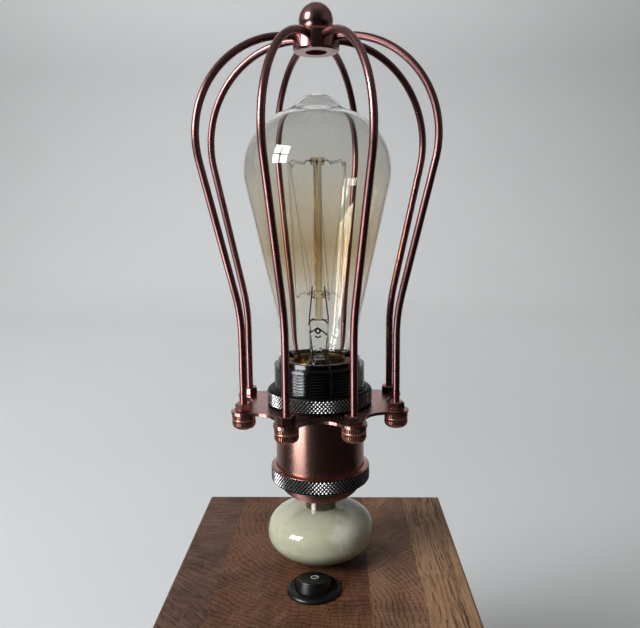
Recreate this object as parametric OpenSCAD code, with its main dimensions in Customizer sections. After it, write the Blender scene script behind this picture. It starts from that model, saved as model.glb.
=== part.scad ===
// Cube table lamp: a glued oak cube with a rocker switch, an onyx bead, a copper screw-ring lamp
// holder, a pear-shaped filament bulb and a cage of eight bent copper wires with a ball finial.
// Millimetres, +Z up, origin on the table under the centre of the cube, switch side towards -Y.

/* [Oak cube] */
// Side of the cube
cube_side = 130; // [122:1:150]
// Radius of its eased edges
edge_r = 1.5; // [0.5:0.1:3]
// Width of the dark stave at the left
stave_1_w = 20; // [15:0.5:24]
// Width of the narrow stave right of the middle
stave_3_w = 22.5; // [18:0.5:26]
// Width of the light board at the right
stave_4_w = 21; // [16:0.5:25]
// Thickness of the wood above the pocket
roof_t = 16; // [12:0.5:18]
// Side of the square pocket milled from below
pocket_side = 84; // [80:1:88]
// Width of the ledge round the pocket that the cover closes on
ledge_w = 7; // [6:0.5:9]

/* [Underside] */
// Thickness of the cover
cover_t = 3; // [2:0.5:5]
// Distance of each cover screw from the middle of its edge
cover_screw_x = 30; // [20:1:36]
// Shank radius of the wood screws
wood_screw_r = 1.5; // [1:0.1:1.8]
// Length of the wood screws
wood_screw_len = 14; // [10:1:18]
// Radius of a foot
foot_r = 7; // [5:0.5:7.5]
// Height of a foot
foot_h = 3; // [2:0.5:6]
// Distance from the cube's faces to a foot's centre
foot_inset = 10; // [9:0.5:11]

/* [Cord inlet] */
// Bore of the grommet
inlet_r = 3.75; // [3:0.05:4.2]
// Outside radius of the grommet's tube
grommet_r = 6; // [5.5:0.1:7]
// Length of the grommet
grommet_len = 14; // [8:0.5:18]
// Radius of the grommet's flange
grommet_flange_r = 8; // [7.5:0.1:9]
// Thickness of the grommet's flange
grommet_flange_t = 2; // [1:0.1:3]
// Height of the inlet above the underside of the cube
inlet_h = 22; // [16:1:40]

/* [Switch] */
// Switch centre, to the right of the lamp's axis
switch_x = -2.4; // [-6:0.1:6]
// Switch centre, behind the lamp's axis
switch_y = -30.4; // [-31:0.1:-28]
// Radius of the switch body
switch_r = 9.9; // [9.6:0.05:10.4]
// Depth of the switch body below the wood
switch_depth = 20; // [19:0.5:24]
// Radius of the bezel
bezel_r = 11.5; // [11.2:0.1:13]
// Height of the bezel
bezel_h = 2; // [1.5:0.1:2.4]
// Wall of the switch body
switch_wall = 1.6; // [1.2:0.05:1.8]
// Gap round the rocker
rocker_gap = 0.4; // [0.3:0.05:0.6]
// Angle that the rocker tilts to each side
rocker_tilt = 10; // [7:0.5:12]
// Height of the middle of the rocker's top above the wood
rocker_h = 5.3; // [4.8:0.1:6]
// Height of the rocker's pivot above the wood
pivot_up = 0.5; // [0.3:0.1:0.6]
// Radius of the rocker's pivot pins
pivot_r = 1; // [0.8:0.05:1.1]
// Depth of the contact lever's pivot below the wood
lever_depth = 13; // [12.5:0.1:14]
// Angle that the contact lever tilts to each side
lever_tilt = 6; // [4:0.5:7]
// Width of a connection blade
blade_w = 4.8; // [4:0.1:6.3]
// Length of a connection blade below the switch
blade_len = 8; // [6:0.5:10]

/* [Stem] */
// Radius of the hollow threaded rod
rod_r = 5; // [4.6:0.1:5.4]
// Wall of the rod
rod_wall = 1; // [0.8:0.05:1.2]
// Radius of the onyx bead
bead_r = 24.7; // [22:0.1:27]
// Height of the onyx bead
bead_h = 24.6; // [20:0.1:28]
// Squareness of the bead's upper half, 2 being an ellipse
bead_power = 2.8; // [2:0.05:3]
// Squareness of the bead's lower half
bead_foot_power = 1.9; // [1.8:0.05:2.6]
// Radius of the steel collar
collar_r = 7.1; // [6.6:0.1:7.8]
// Height of the steel collar
collar_h = 4.6; // [2:0.1:6]

/* [Lamp holder] */
// Height of the visible dome
dome_h = 9.2; // [8.6:0.1:11]
// Radius of the dome where the lower ring meets it
dome_r = 19; // [18.4:0.1:19.4]
// Radius of the knurled lower ring
lower_ring_r = 22.6; // [22:0.1:25]
// Height of the knurled lower ring
lower_ring_h = 7.8; // [6.6:0.1:9]
// Radius of the copper shell
shell_r = 20.1; // [19.9:0.05:20.3]
// Length of the copper shell
shell_len = 32.8; // [28:0.1:40]
// Wall of the copper shell
shell_wall = 1.2; // [0.9:0.05:1.4]
// Radius of the bead rolled round the shell's top
shell_bead_r = 21.6; // [21.4:0.1:23]
// Crest radius of the black threaded sleeve
sleeve_r = 20.4; // [20.3:0.05:20.6]
// Threaded height of the sleeve
sleeve_h = 19.2; // [16:0.1:24]
// Radius of the plain collar above the thread
sleeve_collar_r = 18.4; // [18:0.1:19.4]
// Height of the plain collar above the thread
sleeve_collar_h = 2.7; // [1.5:0.1:5]
// Length of the sleeve's skirt inside the shell
skirt_len = 15.7; // [12:0.1:18]
// Radius of the knurled shade ring
shade_ring_r = 23.66; // [22.6:0.05:26]
// Height of the knurled shade ring
shade_ring_h = 7.4; // [5:0.1:10]

/* [Bulb] */
// Radius of the bulb's screw cap
cap_r = 13.05; // [12.8:0.05:13.2]
// Height of the bulb's screw cap, contact included
cap_h = 25; // [23:0.5:27]
// Largest radius of the glass
bulb_r = 32; // [28:0.25:35]
// Height of the widest place above the cap
bulb_body_h = 83.5; // [76:0.5:90]
// Radius of the glass shoulder
shoulder_r = 27; // [25:0.25:28]
// Slope of the glass cone
cone_angle = 12.3; // [11:0.1:12.8]
// Radius of the glass nipple at the tip
nipple_r = 12; // [11:0.1:13]
// Height of the tip above the crown of the shoulder
nipple_h = 5.7; // [5:0.1:6.5]
// Thickness of the glass
glass_t = 0.9; // [0.6:0.05:1.2]
// Height of the glass rod between the filament's supports
mandrel_h = 71; // [64:0.5:74]
// Reach of the filament's upper supports
upper_reach = 13.5; // [10:0.25:16]
// Reach of the filament's lower supports
lower_reach = 9.5; // [8:0.25:11]

/* [Cage] */
// Radius of the circle of wires
wire_circle_r = 36; // [34:0.25:40]
// Radius of a wire
wire_r = 1.6; // [1.3:0.05:1.8]
// Height of the straight foot of a wire above the plate
wire_foot_h = 32; // [26:0.5:38]
// Radius of the lower bend
foot_bend_r = 80; // [60:1:100]
// Outward slope of a wire
flare_angle = 13.8; // [11:0.1:16]
// Free height between the bulb's tip and the hub
headroom = 16.5; // [13:0.5:24]
// Thickness of the scalloped plate
plate_t = 1.3; // [1:0.1:2]
// Radius of the plate's lobes
lobe_r = 5.5; // [5.2:0.1:6.5]
// Distance across a nut's flats
nut_flats = 6.6; // [6:0.1:7.2]
// Height of a nut
nut_h = 3.5; // [2.5:0.1:4.5]
// Radius of a knurled cap nut
cap_nut_r = 4.9; // [4.4:0.1:5.2]
// Height of a knurled cap nut
cap_nut_h = 7; // [6:0.1:9]
// Radius of the hub
hub_r = 9.9; // [9.5:0.1:12]
// Height of the hub
hub_h = 8.3; // [7.4:0.1:10]
// Height of the wires above the hub's lower face
hub_wire_h = 5.6; // [4:0.1:5.8]
// Radius of the thread in the hub
stud_r = 4.5; // [4:0.1:4.7]
// Radius of the ball finial
ball_r = 7.3; // [7:0.1:9]
// Turn of the whole cage about the lamp's axis
cage_turn = 2; // [-10:0.5:10]

/* [Wiring] */
// Radius of an insulated lead
lead_r = 1.1; // [0.8:0.05:1.3]

/* [Hidden] */
$fn = 64;

// Clearances: turned fit, drilled fit, loose fit round moving pieces, and what a cut overshoots by
fit = 0.05;
drill = 0.3;
loose = 0.3;
over = 1;
// Straight steps that a drawn arc is made of
arc_steps = 12;

// Cube: its half side, top face, stave edges, pocket and cover
half = cube_side / 2;
z_top = foot_h + cube_side;
z_roof = z_top - roof_t;
stave_x = [-half, stave_1_w - half, half - stave_4_w - stave_3_w, half - stave_4_w, half];
cover_side = pocket_side + 2 * ledge_w;
cover_screw_y = (pocket_side + ledge_w) / 2;
screw_head_r = 2 * wood_screw_r;
screw_head_h = wood_screw_r;
foot_at = half - foot_inset;
z_inlet = foot_h + inlet_h;

// Terminal block under the roof, behind the rod
block_size = [20, 14, 11];
block_y = 22;
channel_r = lead_r + drill;
channel_x = 5;
channel_drop = 7;
clamp_r = 1.4;
clamp_head_r = 1.9;
clamp_y = 4;
clamp_len = 3;

// Switch: opening, rocker, pivots and blades, heights measured from the top of the wood
opening_r = switch_r - switch_wall;
rocker_r = (opening_r - rocker_gap) / cos(rocker_tilt);
z_pivot = z_top + pivot_up;
z_lever = z_top - lever_depth;
rocker_up = (rocker_h - pivot_up) / cos(rocker_tilt);
rocker_skirt = 3.5;
rocker_round = 0.7;
pin_end = switch_r - switch_wall / 2;
floor_t = 2;
z_floor = z_top - switch_depth;
lever_size = [5, 12.4, 0.8];
lever_pin_r = 0.8;
stem_r = 1.5;
stem_len = lever_depth + pivot_up - lever_pin_r - loose;
blade_t = 0.8;
contact_y = 5;
contact_drop = contact_y * sin(lever_tilt) + lever_size[2] / 2 / cos(lever_tilt) + loose;
bezel_rim = 0.6;
bezel_land = 1.1;
bezel_top_r = opening_r + bezel_land;

// Stem: seats stacked upwards from the top of the wood
rod_hole_r = rod_r + drill;
washer_r = 2 * rod_r;
washer_t = 1.5;
rod_nut_flats = 2.8 * rod_r;
rod_nut_h = 4;
rod_tail = 3;
z_rod = z_roof - washer_t - rod_nut_h - rod_tail;
z_collar = z_top + bead_h;
z_dome = z_collar + collar_h;
bead_flat = 0.4;

// Lamp holder: dome with its rim, ring, shell, porcelain core and sleeve
neck_edge = 0.9;
neck_r = collar_r + neck_edge;
dome_wall = 1.4;
dome_deep = dome_h / cos(asin(neck_r / dome_r));
boss_h = 7;
ring_lip = 1;
rim_t = 1.5;
rim_w = 2.5;
rim_in_r = dome_r - rim_w;
ring_wall = 1.6;
shell_foot_r = min(shell_r, lower_ring_r - ring_wall - 2 * drill);
rim_r = shell_foot_r + drill;
lip_r = dome_r + fit * 3;
ring_edge = 1.4;
z_ring = z_dome + dome_h;
z_core = z_ring + ring_lip + rim_t;
z_plate = z_core + shell_len;
z_socket = z_plate - skirt_len;
shell_in_r = shell_foot_r - shell_wall;
shell_step = lower_ring_h + loose - ring_lip - rim_t;
skirt_r = shell_in_r - drill;
bead_t = 1.5;
core_well_r = 12;
core_well_h = 9;
core_hole_r = lead_r + drill;
core_hole_x = 8.5;
socket_in_r = cap_r + loose + fit;
socket_wall = 0.5;
socket_floor_t = 0.6;
socket_hole_r = 7;
contact_base_r = 6;
sleeve_bore_r = socket_in_r + socket_wall + drill;
mouth_wall = 1.2;
sleeve_mouth_r = sleeve_collar_r - mouth_wall;
sleeve_mouth_h = 7.6;
thread_count = 9;
thread_depth = 0.6;
thread_top = 1.2;
z_thread_end = z_plate + sleeve_h;
z_sleeve_end = z_thread_end + sleeve_collar_h;
z_plate_top = z_plate + plate_t;
socket_drop = 1.1;
z_socket_end = z_sleeve_end - socket_drop;
ring_round = 1.2;

// Bulb: cap, then the glass outline from neck to tip
z_cap_end = z_socket_end;
z_tip = z_cap_end - cap_h;
tip_r = 4.6;
tip_t = 0.7;
insulator_step = 1.45;
insulator_r = cap_r - insulator_step;
insulator_h = 3;
cap_wall = 0.35;
z_cap = z_tip + tip_t + insulator_h;
glass_neck_r = cap_r - cap_wall - fit;
neck_depth = 10;
z_neck = z_cap_end - neck_depth;
neck_bend_r = 30;
neck_bend_h = 11.5;
shoulder_c = [bulb_r - shoulder_r, z_cap_end + bulb_body_h];
cone_top = shoulder_c + shoulder_r * [cos(cone_angle), -sin(cone_angle)];
cone_foot_z = z_cap_end + neck_bend_h;
cone_foot = [cone_top[0] - (cone_top[1] - cone_foot_z) * tan(cone_angle), cone_foot_z];
neck_c = cone_foot + neck_bend_r * [-cos(cone_angle), sin(cone_angle)];
z_bulb_end = shoulder_c[1] + shoulder_r + nipple_h;
nipple_c = [0, z_bulb_end - nipple_r];

// Inside the bulb: glass stem, rod with two buttons, supports and filament
stem_foot_r = glass_neck_r - glass_t - fit * 3;
stem_flare_h = 11;
pinch_r = 4.4;
pinch_t = 4.2;
pinch_h = 18.1;
z_pinch = z_cap_end + pinch_h;
mandrel_r = 1.75;
button_r = 3.1;
button_h = 3;
lower_button_up = 10;
z_upper = z_pinch + mandrel_h - button_h / 2;
z_lower = z_pinch + lower_button_up + button_h / 2;
support_r = 0.25;
support_count = 6;
support_seat = 2.3;
support_sag = 1.2;
hook_len = 1;
filament_r = 0.15;
filament_gap = 0.25;
filament_bend = 0.35;
lead_in_r = 0.35;
lead_in_x = 4;
lead_in_end = 1;
lead_in_rise = 4;
lead_in_top = [2.7, -2.6, z_lower + lead_in_rise];

// Cage: wire outline in the plane of radius and height, hub and finial
wire_count = 8;
wire_sides = 12;
wire_step = 360 / wire_count;
nut_bore_r = wire_r + fit;
cap_bore_h = 5.6;
z_wire = z_plate - cap_bore_h + loose;
z_bend = z_plate_top + wire_foot_h;
z_hub = z_bulb_end + headroom;
z_wire_top = z_hub + hub_wire_h;
hub_gap = 1.05;
hub_web = 1.2;
wire_end_r = stud_r + hub_web;
rise = z_wire_top - z_bend - foot_bend_r * sin(flare_angle);
reach = hub_r + hub_gap - wire_circle_r - foot_bend_r * (1 - cos(flare_angle));
top_bend_r = (sin(flare_angle) * rise - cos(flare_angle) * reach) / (1 + sin(flare_angle));
scallop_out = 4.6;
scallop_at = wire_circle_r + scallop_out;
lobe_to_scallop = scallop_at * [cos(wire_step / 2), sin(wire_step / 2)] - [wire_circle_r, 0];
scallop_r = norm(lobe_to_scallop) - lobe_r;
plate_bore_r = sleeve_r + drill;
hub_edge = 0.8;
ball_seat = 4.5;
z_ball = z_hub + hub_h + ball_seat;
stud_tail = 2.3;
stud_up = 2;
cap_nut_edge = 2;
cap_nut_groove = 0.35;
groove_up = 3.85;

// Leads: a straight end at each clamp, a loop below the roof and the lane up the rod
lead_sides = 8;
lead_end = 3;
loop_out = 8;
loop_drop = 12;
z_channel = z_roof - channel_drop;
z_loop = z_rod - loop_drop;
z_blade = z_floor - blade_len / 2;
rod_lane = (rod_r - rod_wall) / 2;

// Points on an arc of radius r about c, from angle a to angle b, in n steps
function arc(c, r, a, b, n) =
    [for (i = [0:n]) let (t = a + (b - a) * i / n) c + r * [cos(t), sin(t)]];
// A list without its two ends, and a list from its last item to its first
function between(list) = [for (i = [1:len(list) - 2]) list[i]];
function backwards(list) = [for (i = [len(list) - 1:-1:0]) list[i]];
function unit(v) = v / norm(v);
// Where two circles meet, on the side of larger x
function meeting(c, r, d, s) =
    let (gap = norm(d - c), u = (d - c) / gap, a = (r * r - s * s + gap * gap) / (2 * gap))
    let (h = sqrt(r * r - a * a), p = c + a * u + h * [-u[1], u[0]], q = c + a * u - h * [-u[1], u[0]])
    p[0] > q[0] ? p : q;
// A point at a radius, angle and height about the lamp's axis
function polar(r, a, z) = [r * cos(a), r * sin(a), z];
// Direction of a path at its point i
function heading(p, i) =
    i == 0 ? unit(p[1] - p[0]) :
    i == len(p) - 1 ? unit(p[i] - p[i - 1]) : unit(unit(p[i + 1] - p[i]) + unit(p[i] - p[i - 1]));
// The part of v that is square to t
function square_to(v, t) = unit(v - (v * t) * t);
// One sideways direction for each point of a path, carried along it without twisting
function sideways(p) = [for (
    i = 0, s = square_to(abs(heading(p, 0)[0]) < 0.8 ? [1, 0, 0] : [0, 1, 0], heading(p, 0));
    i < len(p);
    s = square_to(s, heading(p, min(i + 1, len(p) - 1))), i = i + 1) s];

// A round wire of radius r along the path p, with the given number of sides
module wire_along(p, r, sides) {
    s = sideways(p);
    rings = [for (i = [0:len(p) - 1]) for (j = [0:sides - 1])
        let (a = 360 * j / sides) p[i] + r * (cos(a) * s[i] + sin(a) * cross(heading(p, i), s[i]))];
    last = (len(p) - 1) * sides;
    walls = [for (i = [0:len(p) - 2]) for (j = [0:sides - 1])
        let (a = i * sides + j, b = i * sides + (j + 1) % sides)
        each [[a, a + sides, b], [b, a + sides, b + sides]]];
    ends = [for (j = [1:sides - 2]) each [[0, j, j + 1], [last, last + j + 1, last + j]]];
    polyhedron(rings, concat(walls, ends));
}

// A tube standing on z, with its outer and inner radius
module tube(z, h, outer, inner) {
    translate([0, 0, z]) difference() {
        cylinder(h = h, r = outer);
        translate([0, 0, -over]) cylinder(h = h + 2 * over, r = inner);
    }
}

// A countersunk wood screw, point up, head face at z = 0
module wood_screw() {
    cylinder(h = screw_head_h, r1 = screw_head_r, r2 = wood_screw_r);
    cylinder(h = wood_screw_len - screw_head_r, r = wood_screw_r);
    translate([0, 0, wood_screw_len - screw_head_r]) cylinder(h = screw_head_r, r1 = wood_screw_r, r2 = 0);
}

// The hole for a wood screw, with room for its head
module screw_hole() {
    translate([0, 0, -over]) cylinder(h = wood_screw_len + over + fit, r = wood_screw_r + fit);
    translate([0, 0, -fit]) cylinder(h = screw_head_h, r1 = screw_head_r + fit, r2 = wood_screw_r + fit);
    translate([0, 0, -over]) cylinder(h = over, r = screw_head_r + fit);
}

// The places of the four cover screws
module at_cover_screws() {
    for (x = [-cover_screw_x, cover_screw_x]) for (y = [-cover_screw_y, cover_screw_y])
        translate([x, y, foot_h]) children();
}

// A square with round corners, as long as the cube's side
module eased_square() {
    inner = cube_side - 2 * edge_r;
    square([inner, cube_side], center = true);
    square([cube_side, inner], center = true);
    for (x = [-inner, inner] / 2) for (y = [-inner, inner] / 2) translate([x, y]) circle(edge_r);
}

// The whole oak cube before it is cut
module eased_cube() {
    translate([0, 0, foot_h + half]) intersection() {
        linear_extrude(cube_side, center = true) eased_square();
        rotate([90, 0, 0]) linear_extrude(cube_side, center = true) eased_square();
        rotate([0, 90, 0]) linear_extrude(cube_side, center = true) eased_square();
    }
}

// Everything that is milled and drilled out of the cube
module cube_cuts() {
    translate([-pocket_side / 2, -pocket_side / 2, foot_h - over])
        cube([pocket_side, pocket_side, z_roof - foot_h + over]);
    translate([-cover_side / 2, -cover_side / 2, foot_h - over])
        cube([cover_side, cover_side, cover_t + over]);
    translate([0, 0, z_roof - over]) cylinder(h = roof_t + 2 * over, r = rod_hole_r);
    translate([switch_x, switch_y, z_roof - over]) cylinder(h = roof_t + 2 * over, r = switch_r + drill);
    translate([0, half + over, z_inlet]) rotate([90, 0, 0]) {
        cylinder(h = half - pocket_side / 2 + 2 * over, r = grommet_r + fit);
        cylinder(h = grommet_flange_t + over, r = grommet_flange_r + fit);
    }
    at_cover_screws() screw_hole();
    translate([0, block_y, z_roof - block_size[2]]) screw_hole();
}

module base_stave(i) {
    color(["#5b4030", "#74523a", "#7c583c", "#94704c"][i - 1]) intersection() {
        difference() {
            eased_cube();
            cube_cuts();
        }
        translate([stave_x[i - 1], -half, foot_h])
            cube([stave_x[i] - stave_x[i - 1], cube_side, cube_side]);
    }
}

module base_cover() {
    side = cover_side - 2 * drill;
    color("#8a6a48") difference() {
        translate([-side / 2, -side / 2, foot_h]) cube([side, side, cover_t]);
        at_cover_screws() screw_hole();
    }
}

module cover_screws() {
    color("#b9a067") at_cover_screws() wood_screw();
}

module feet() {
    color("#222222") for (x = [-foot_at, foot_at]) for (y = [-foot_at, foot_at])
        translate([x, y, 0]) cylinder(h = foot_h, r = foot_r);
}

module cord_grommet() {
    color("#1d1d1d") translate([0, half, z_inlet]) rotate([90, 0, 0]) difference() {
        union() {
            cylinder(h = grommet_len, r = grommet_r);
            cylinder(h = grommet_flange_t, r = grommet_flange_r);
        }
        translate([0, 0, -over]) cylinder(h = grommet_len + 2 * over, r = inlet_r);
    }
}

module terminal_block() {
    color("#e8e4d8") translate([0, block_y, z_roof]) difference() {
        translate([-block_size[0] / 2, -block_size[1] / 2, -block_size[2]]) cube(block_size);
        for (x = [-channel_x, channel_x]) translate([x, 0, -channel_drop]) {
            rotate([90, 0, 0]) cylinder(h = block_size[1] + 2 * over, r = channel_r, center = true);
            for (y = [-clamp_y, clamp_y]) translate([0, y, -block_size[2]])
                cylinder(h = block_size[2], r = clamp_head_r + fit);
        }
        translate([0, 0, -block_size[2]]) screw_hole();
    }
}

module terminal_screws() {
    color("#c9a24a") for (x = [-channel_x, channel_x]) for (y = [-clamp_y, clamp_y])
        translate([x, block_y + y, z_roof - channel_drop - lead_r - fit - clamp_len]) {
            cylinder(h = clamp_len / 2, r = clamp_head_r);
            cylinder(h = clamp_len, r = clamp_r);
        }
}

module block_screw() {
    color("#b9a067") translate([0, block_y, z_roof - block_size[2]]) wood_screw();
}

module switch_housing() {
    color("#17181a") translate([switch_x, switch_y, 0]) difference() {
        union() {
            translate([0, 0, z_floor]) cylinder(h = switch_depth, r = switch_r);
            translate([0, 0, z_top]) rotate_extrude() polygon(concat(
                [[0, 0], [bezel_r, 0]],
                [for (a = [0:15:90]) [
                    bezel_top_r + (bezel_r - bezel_top_r) * cos(a),
                    bezel_rim + (bezel_h - bezel_rim) * sin(a)]],
                [[0, bezel_h]]));
        }
        translate([0, 0, z_floor + floor_t]) cylinder(h = switch_depth + bezel_h, r = opening_r);
        translate([0, 0, z_pivot]) rotate([0, 90, 0])
            cylinder(h = 2 * (pin_end + loose), r = pivot_r + fit, center = true);
        translate([0, 0, z_lever]) rotate([0, 90, 0])
            cylinder(h = 2 * switch_r + over, r = lever_pin_r + fit, center = true);
        for (y = [0, contact_y]) translate([0, y, z_floor])
            cube([blade_w, blade_t, 4 * floor_t] + [2, 2, 0] * fit, center = true);
    }
}

// A round rocker, widest at its pivot: it tapers by its tilt both ways, so that its side stands
// straight in the opening at each end of its travel
module rocker() {
    slope = tan(rocker_tilt);
    round_z = rocker_up - rocker_round;
    round_x = rocker_r - round_z * slope - rocker_round / cos(rocker_tilt);
    color("#1b1c1e") translate([switch_x, switch_y, z_pivot]) rotate([-rocker_tilt, 0, 0]) {
        rotate_extrude() polygon(concat(
            [[0, -rocker_skirt], [rocker_r - rocker_skirt * slope, -rocker_skirt], [rocker_r, 0]],
            arc([round_x, round_z], rocker_round, rocker_tilt, 90, arc_steps / 2),
            [[0, rocker_up]]));
        rotate([0, 90, 0]) cylinder(h = 2 * pin_end, r = pivot_r, center = true);
        translate([0, 0, -stem_len]) cylinder(h = stem_len, r = stem_r);
    }
}

module contact_lever() {
    color("#c98f4e") translate([switch_x, switch_y, z_lever]) rotate([lever_tilt, 0, 0]) {
        cube(lever_size, center = true);
        rotate([0, 90, 0]) cylinder(h = 2 * pin_end, r = lever_pin_r, center = true);
    }
}

module switch_terminals() {
    z_low = z_floor - blade_len;
    tops = [z_lever - lever_pin_r - loose, z_lever - contact_drop];
    color("#c8c4b4") for (i = [0, 1])
        translate([switch_x - blade_w / 2, switch_y + i * contact_y - blade_t / 2, z_low])
            cube([blade_w, blade_t, tops[i] - z_low]);
}

module centre_rod() {
    color("#b9bbbd") tube(z_rod, z_dome + boss_h - z_rod, rod_r, rod_r - rod_wall);
}

module rod_washer() {
    color("#c3c5c7") tube(z_roof - washer_t, washer_t, washer_r, rod_r + fit);
}

module rod_nut() {
    color("#c9a24a") translate([0, 0, z_roof - washer_t - rod_nut_h]) difference() {
        cylinder(h = rod_nut_h, r = rod_nut_flats / 2 / cos(30), $fn = 6);
        translate([0, 0, -over]) cylinder(h = rod_nut_h + 2 * over, r = rod_r + fit);
    }
}

module onyx_bead() {
    mid = bead_h / 2;
    color("#d5d8bd") translate([0, 0, z_top]) rotate_extrude() polygon(concat(
        [[rod_hole_r, 0]],
        [for (a = [-90:4.5:90])
            let (z = sin(a) * (1 - bead_flat / mid), power = a < 0 ? bead_foot_power : bead_power)
            [bead_r * pow(1 - pow(abs(z), power), 1 / power), mid + mid * sin(a)]],
        [[rod_hole_r, bead_h]]));
}

module steel_collar() {
    color("#8d8a86") tube(z_collar, collar_h, collar_r, rod_r + fit);
}

// Outline of the dome's bowl between two radii, on an ellipse round the middle of its mouth
function bowl(wide, deep, from_r, to_r) = [for (i = [0:arc_steps])
    let (from = asin(from_r / wide), a = from + (asin(to_r / wide) - from) * i / arc_steps)
    [wide * sin(a), dome_h - deep * cos(a)]];

module holder_dome() {
    rim_top = dome_h + ring_lip;
    color("#9a6048") translate([0, 0, z_dome]) rotate_extrude() polygon(concat(
        [[rod_r + fit, 0]],
        bowl(dome_r, dome_deep, neck_r, dome_r),
        [[dome_r, rim_top], [rim_r, rim_top], [rim_r, rim_top + rim_t], [rim_in_r, rim_top + rim_t]],
        bowl(dome_r - dome_wall, dome_deep - dome_wall, rim_in_r, neck_r),
        [[neck_r, boss_h], [rod_r + fit, boss_h]]));
}

module lower_ring() {
    in_r = rim_r + drill;
    color("#6e5a52") translate([0, 0, z_ring]) rotate_extrude() polygon([
        [lip_r, 0], [lower_ring_r - ring_edge, 0], [lower_ring_r, ring_edge],
        [lower_ring_r, lower_ring_h - ring_edge / 2], [lower_ring_r - ring_edge, lower_ring_h],
        [in_r, lower_ring_h], [in_r, ring_lip], [lip_r, ring_lip]]);
}

// The shell's foot fits inside the lower ring; a wider shell steps out just above the ring
module holder_shell() {
    foot = [[shell_in_r, 0], [shell_foot_r, 0]];
    step = shell_foot_r < shell_r ? [[shell_foot_r, shell_step], [shell_r, shell_step]] : [];
    color("#95573f") translate([0, 0, z_core]) rotate_extrude() polygon(concat(foot, step, [
        [shell_r, shell_len - 2 * bead_t], [shell_bead_r, shell_len - bead_t],
        [shell_bead_r, shell_len], [shell_in_r, shell_len]]));
}

module holder_core() {
    color("#efece2") translate([0, 0, z_core]) difference() {
        cylinder(h = z_socket - z_core, r = skirt_r);
        translate([0, 0, -over]) cylinder(h = core_well_h + over, r = core_well_r);
        for (x = [-core_hole_x, core_hole_x]) translate([x, 0, 0])
            cylinder(h = z_socket - z_core + over, r = core_hole_r);
    }
}

module socket_shell() {
    h = z_socket_end - z_socket;
    color("#c79a4a") translate([0, 0, z_socket]) difference() {
        cylinder(h = h, r = socket_in_r + socket_wall);
        translate([0, 0, socket_floor_t]) cylinder(h = h, r = socket_in_r);
        translate([0, 0, -over]) cylinder(h = h, r = socket_hole_r);
    }
}

module centre_contact() {
    t = socket_floor_t;
    h = z_tip - z_socket - loose;
    w = contact_base_r;
    color("#d0a857") translate([0, 0, z_socket]) rotate([90, 0, 90]) linear_extrude(w, center = true)
        polygon([
            [w / 2, 0], [-w + t, 0], [-w + t, t], [w / 3, h - t], [-w / 2, h - t],
            [-w / 2, h], [w / 2, h], [w / 2, h - t], [-w + 3 * t, t], [w / 2, t]]);
}

module holder_sleeve() {
    pitch = (sleeve_h - plate_t - thread_top) / thread_count;
    thread = [for (i = [0:thread_count - 1]) let (z = z_plate_top + i * pitch)
        each [[sleeve_r, z], [sleeve_r, z + pitch / 3], [sleeve_r - thread_depth, z + 2 * pitch / 3]]];
    color("#141416") rotate_extrude() polygon(concat(
        [[sleeve_bore_r, z_socket], [skirt_r, z_socket], [skirt_r, z_plate], [sleeve_r, z_plate]],
        thread,
        [[sleeve_r, z_thread_end - thread_top], [sleeve_r, z_thread_end], [sleeve_collar_r, z_thread_end],
        [sleeve_collar_r, z_sleeve_end], [sleeve_mouth_r, z_sleeve_end],
        [sleeve_mouth_r, z_sleeve_end - sleeve_mouth_h], [sleeve_bore_r, z_sleeve_end - sleeve_mouth_h]]));
}

// Places of the wires round the cage
module at_wires() {
    for (i = [1:wire_count]) rotate([0, 0, wire_angle(i)]) translate([wire_circle_r, 0, 0]) children();
}
function wire_angle(i) = cage_turn + (i - 0.5) * wire_step;

// Outline of the plate: a lobe for each wire and a hollow between each two
function plate_outline() =
    let (turn = atan2(lobe_to_scallop[1], lobe_to_scallop[0]))
    [for (i = [1:wire_count])
        let (a = wire_angle(i), b = a + wire_step / 2, from = a + turn + 180, to = 2 * b - a - turn + 180)
        each concat(
            arc(wire_circle_r * [cos(a), sin(a)], lobe_r, a - turn, a + turn, arc_steps),
            between(arc(scallop_at * [cos(b), sin(b)], scallop_r, from, to, arc_steps)))];

module cage_plate() {
    color("#8f5d4e") translate([0, 0, z_plate]) difference() {
        linear_extrude(plate_t) polygon(plate_outline());
        translate([0, 0, -over]) cylinder(h = plate_t + 2 * over, r = plate_bore_r);
        at_wires() translate([0, 0, -over]) cylinder(h = plate_t + 2 * over, r = nut_bore_r);
    }
}

module shade_ring() {
    in_r = sleeve_r + drill;
    color("#5b5654") translate([0, 0, z_plate_top]) rotate_extrude() polygon(concat(
        [[in_r, 0], [shade_ring_r, 0]],
        arc([shade_ring_r - ring_round, shade_ring_h - ring_round], ring_round, 0, 90, arc_steps / 2),
        [[in_r, shade_ring_h]]));
}

// Outline of a wire in radius and height: upright foot, flare, crown bend and the end in the hub
function wire_path() = concat(
    [[wire_circle_r, z_wire]],
    arc([wire_circle_r + foot_bend_r, z_bend], foot_bend_r, 180, 180 - flare_angle, arc_steps / 3),
    arc([hub_r + hub_gap, z_wire_top - top_bend_r], top_bend_r, -flare_angle, 90, arc_steps + 4),
    [[wire_end_r, z_wire_top]]);

module cage_wire(i) {
    path = [for (p = wire_path()) polar(p[0], wire_angle(i), p[1])];
    color("#7c4038") wire_along(path, wire_r, wire_sides);
}

module hex_nuts() {
    color("#7e4a40") at_wires() translate([0, 0, z_plate_top]) difference() {
        cylinder(h = nut_h, r = nut_flats / 2 / cos(30), $fn = 6);
        translate([0, 0, -over]) cylinder(h = nut_h + 2 * over, r = nut_bore_r);
    }
}

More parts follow.
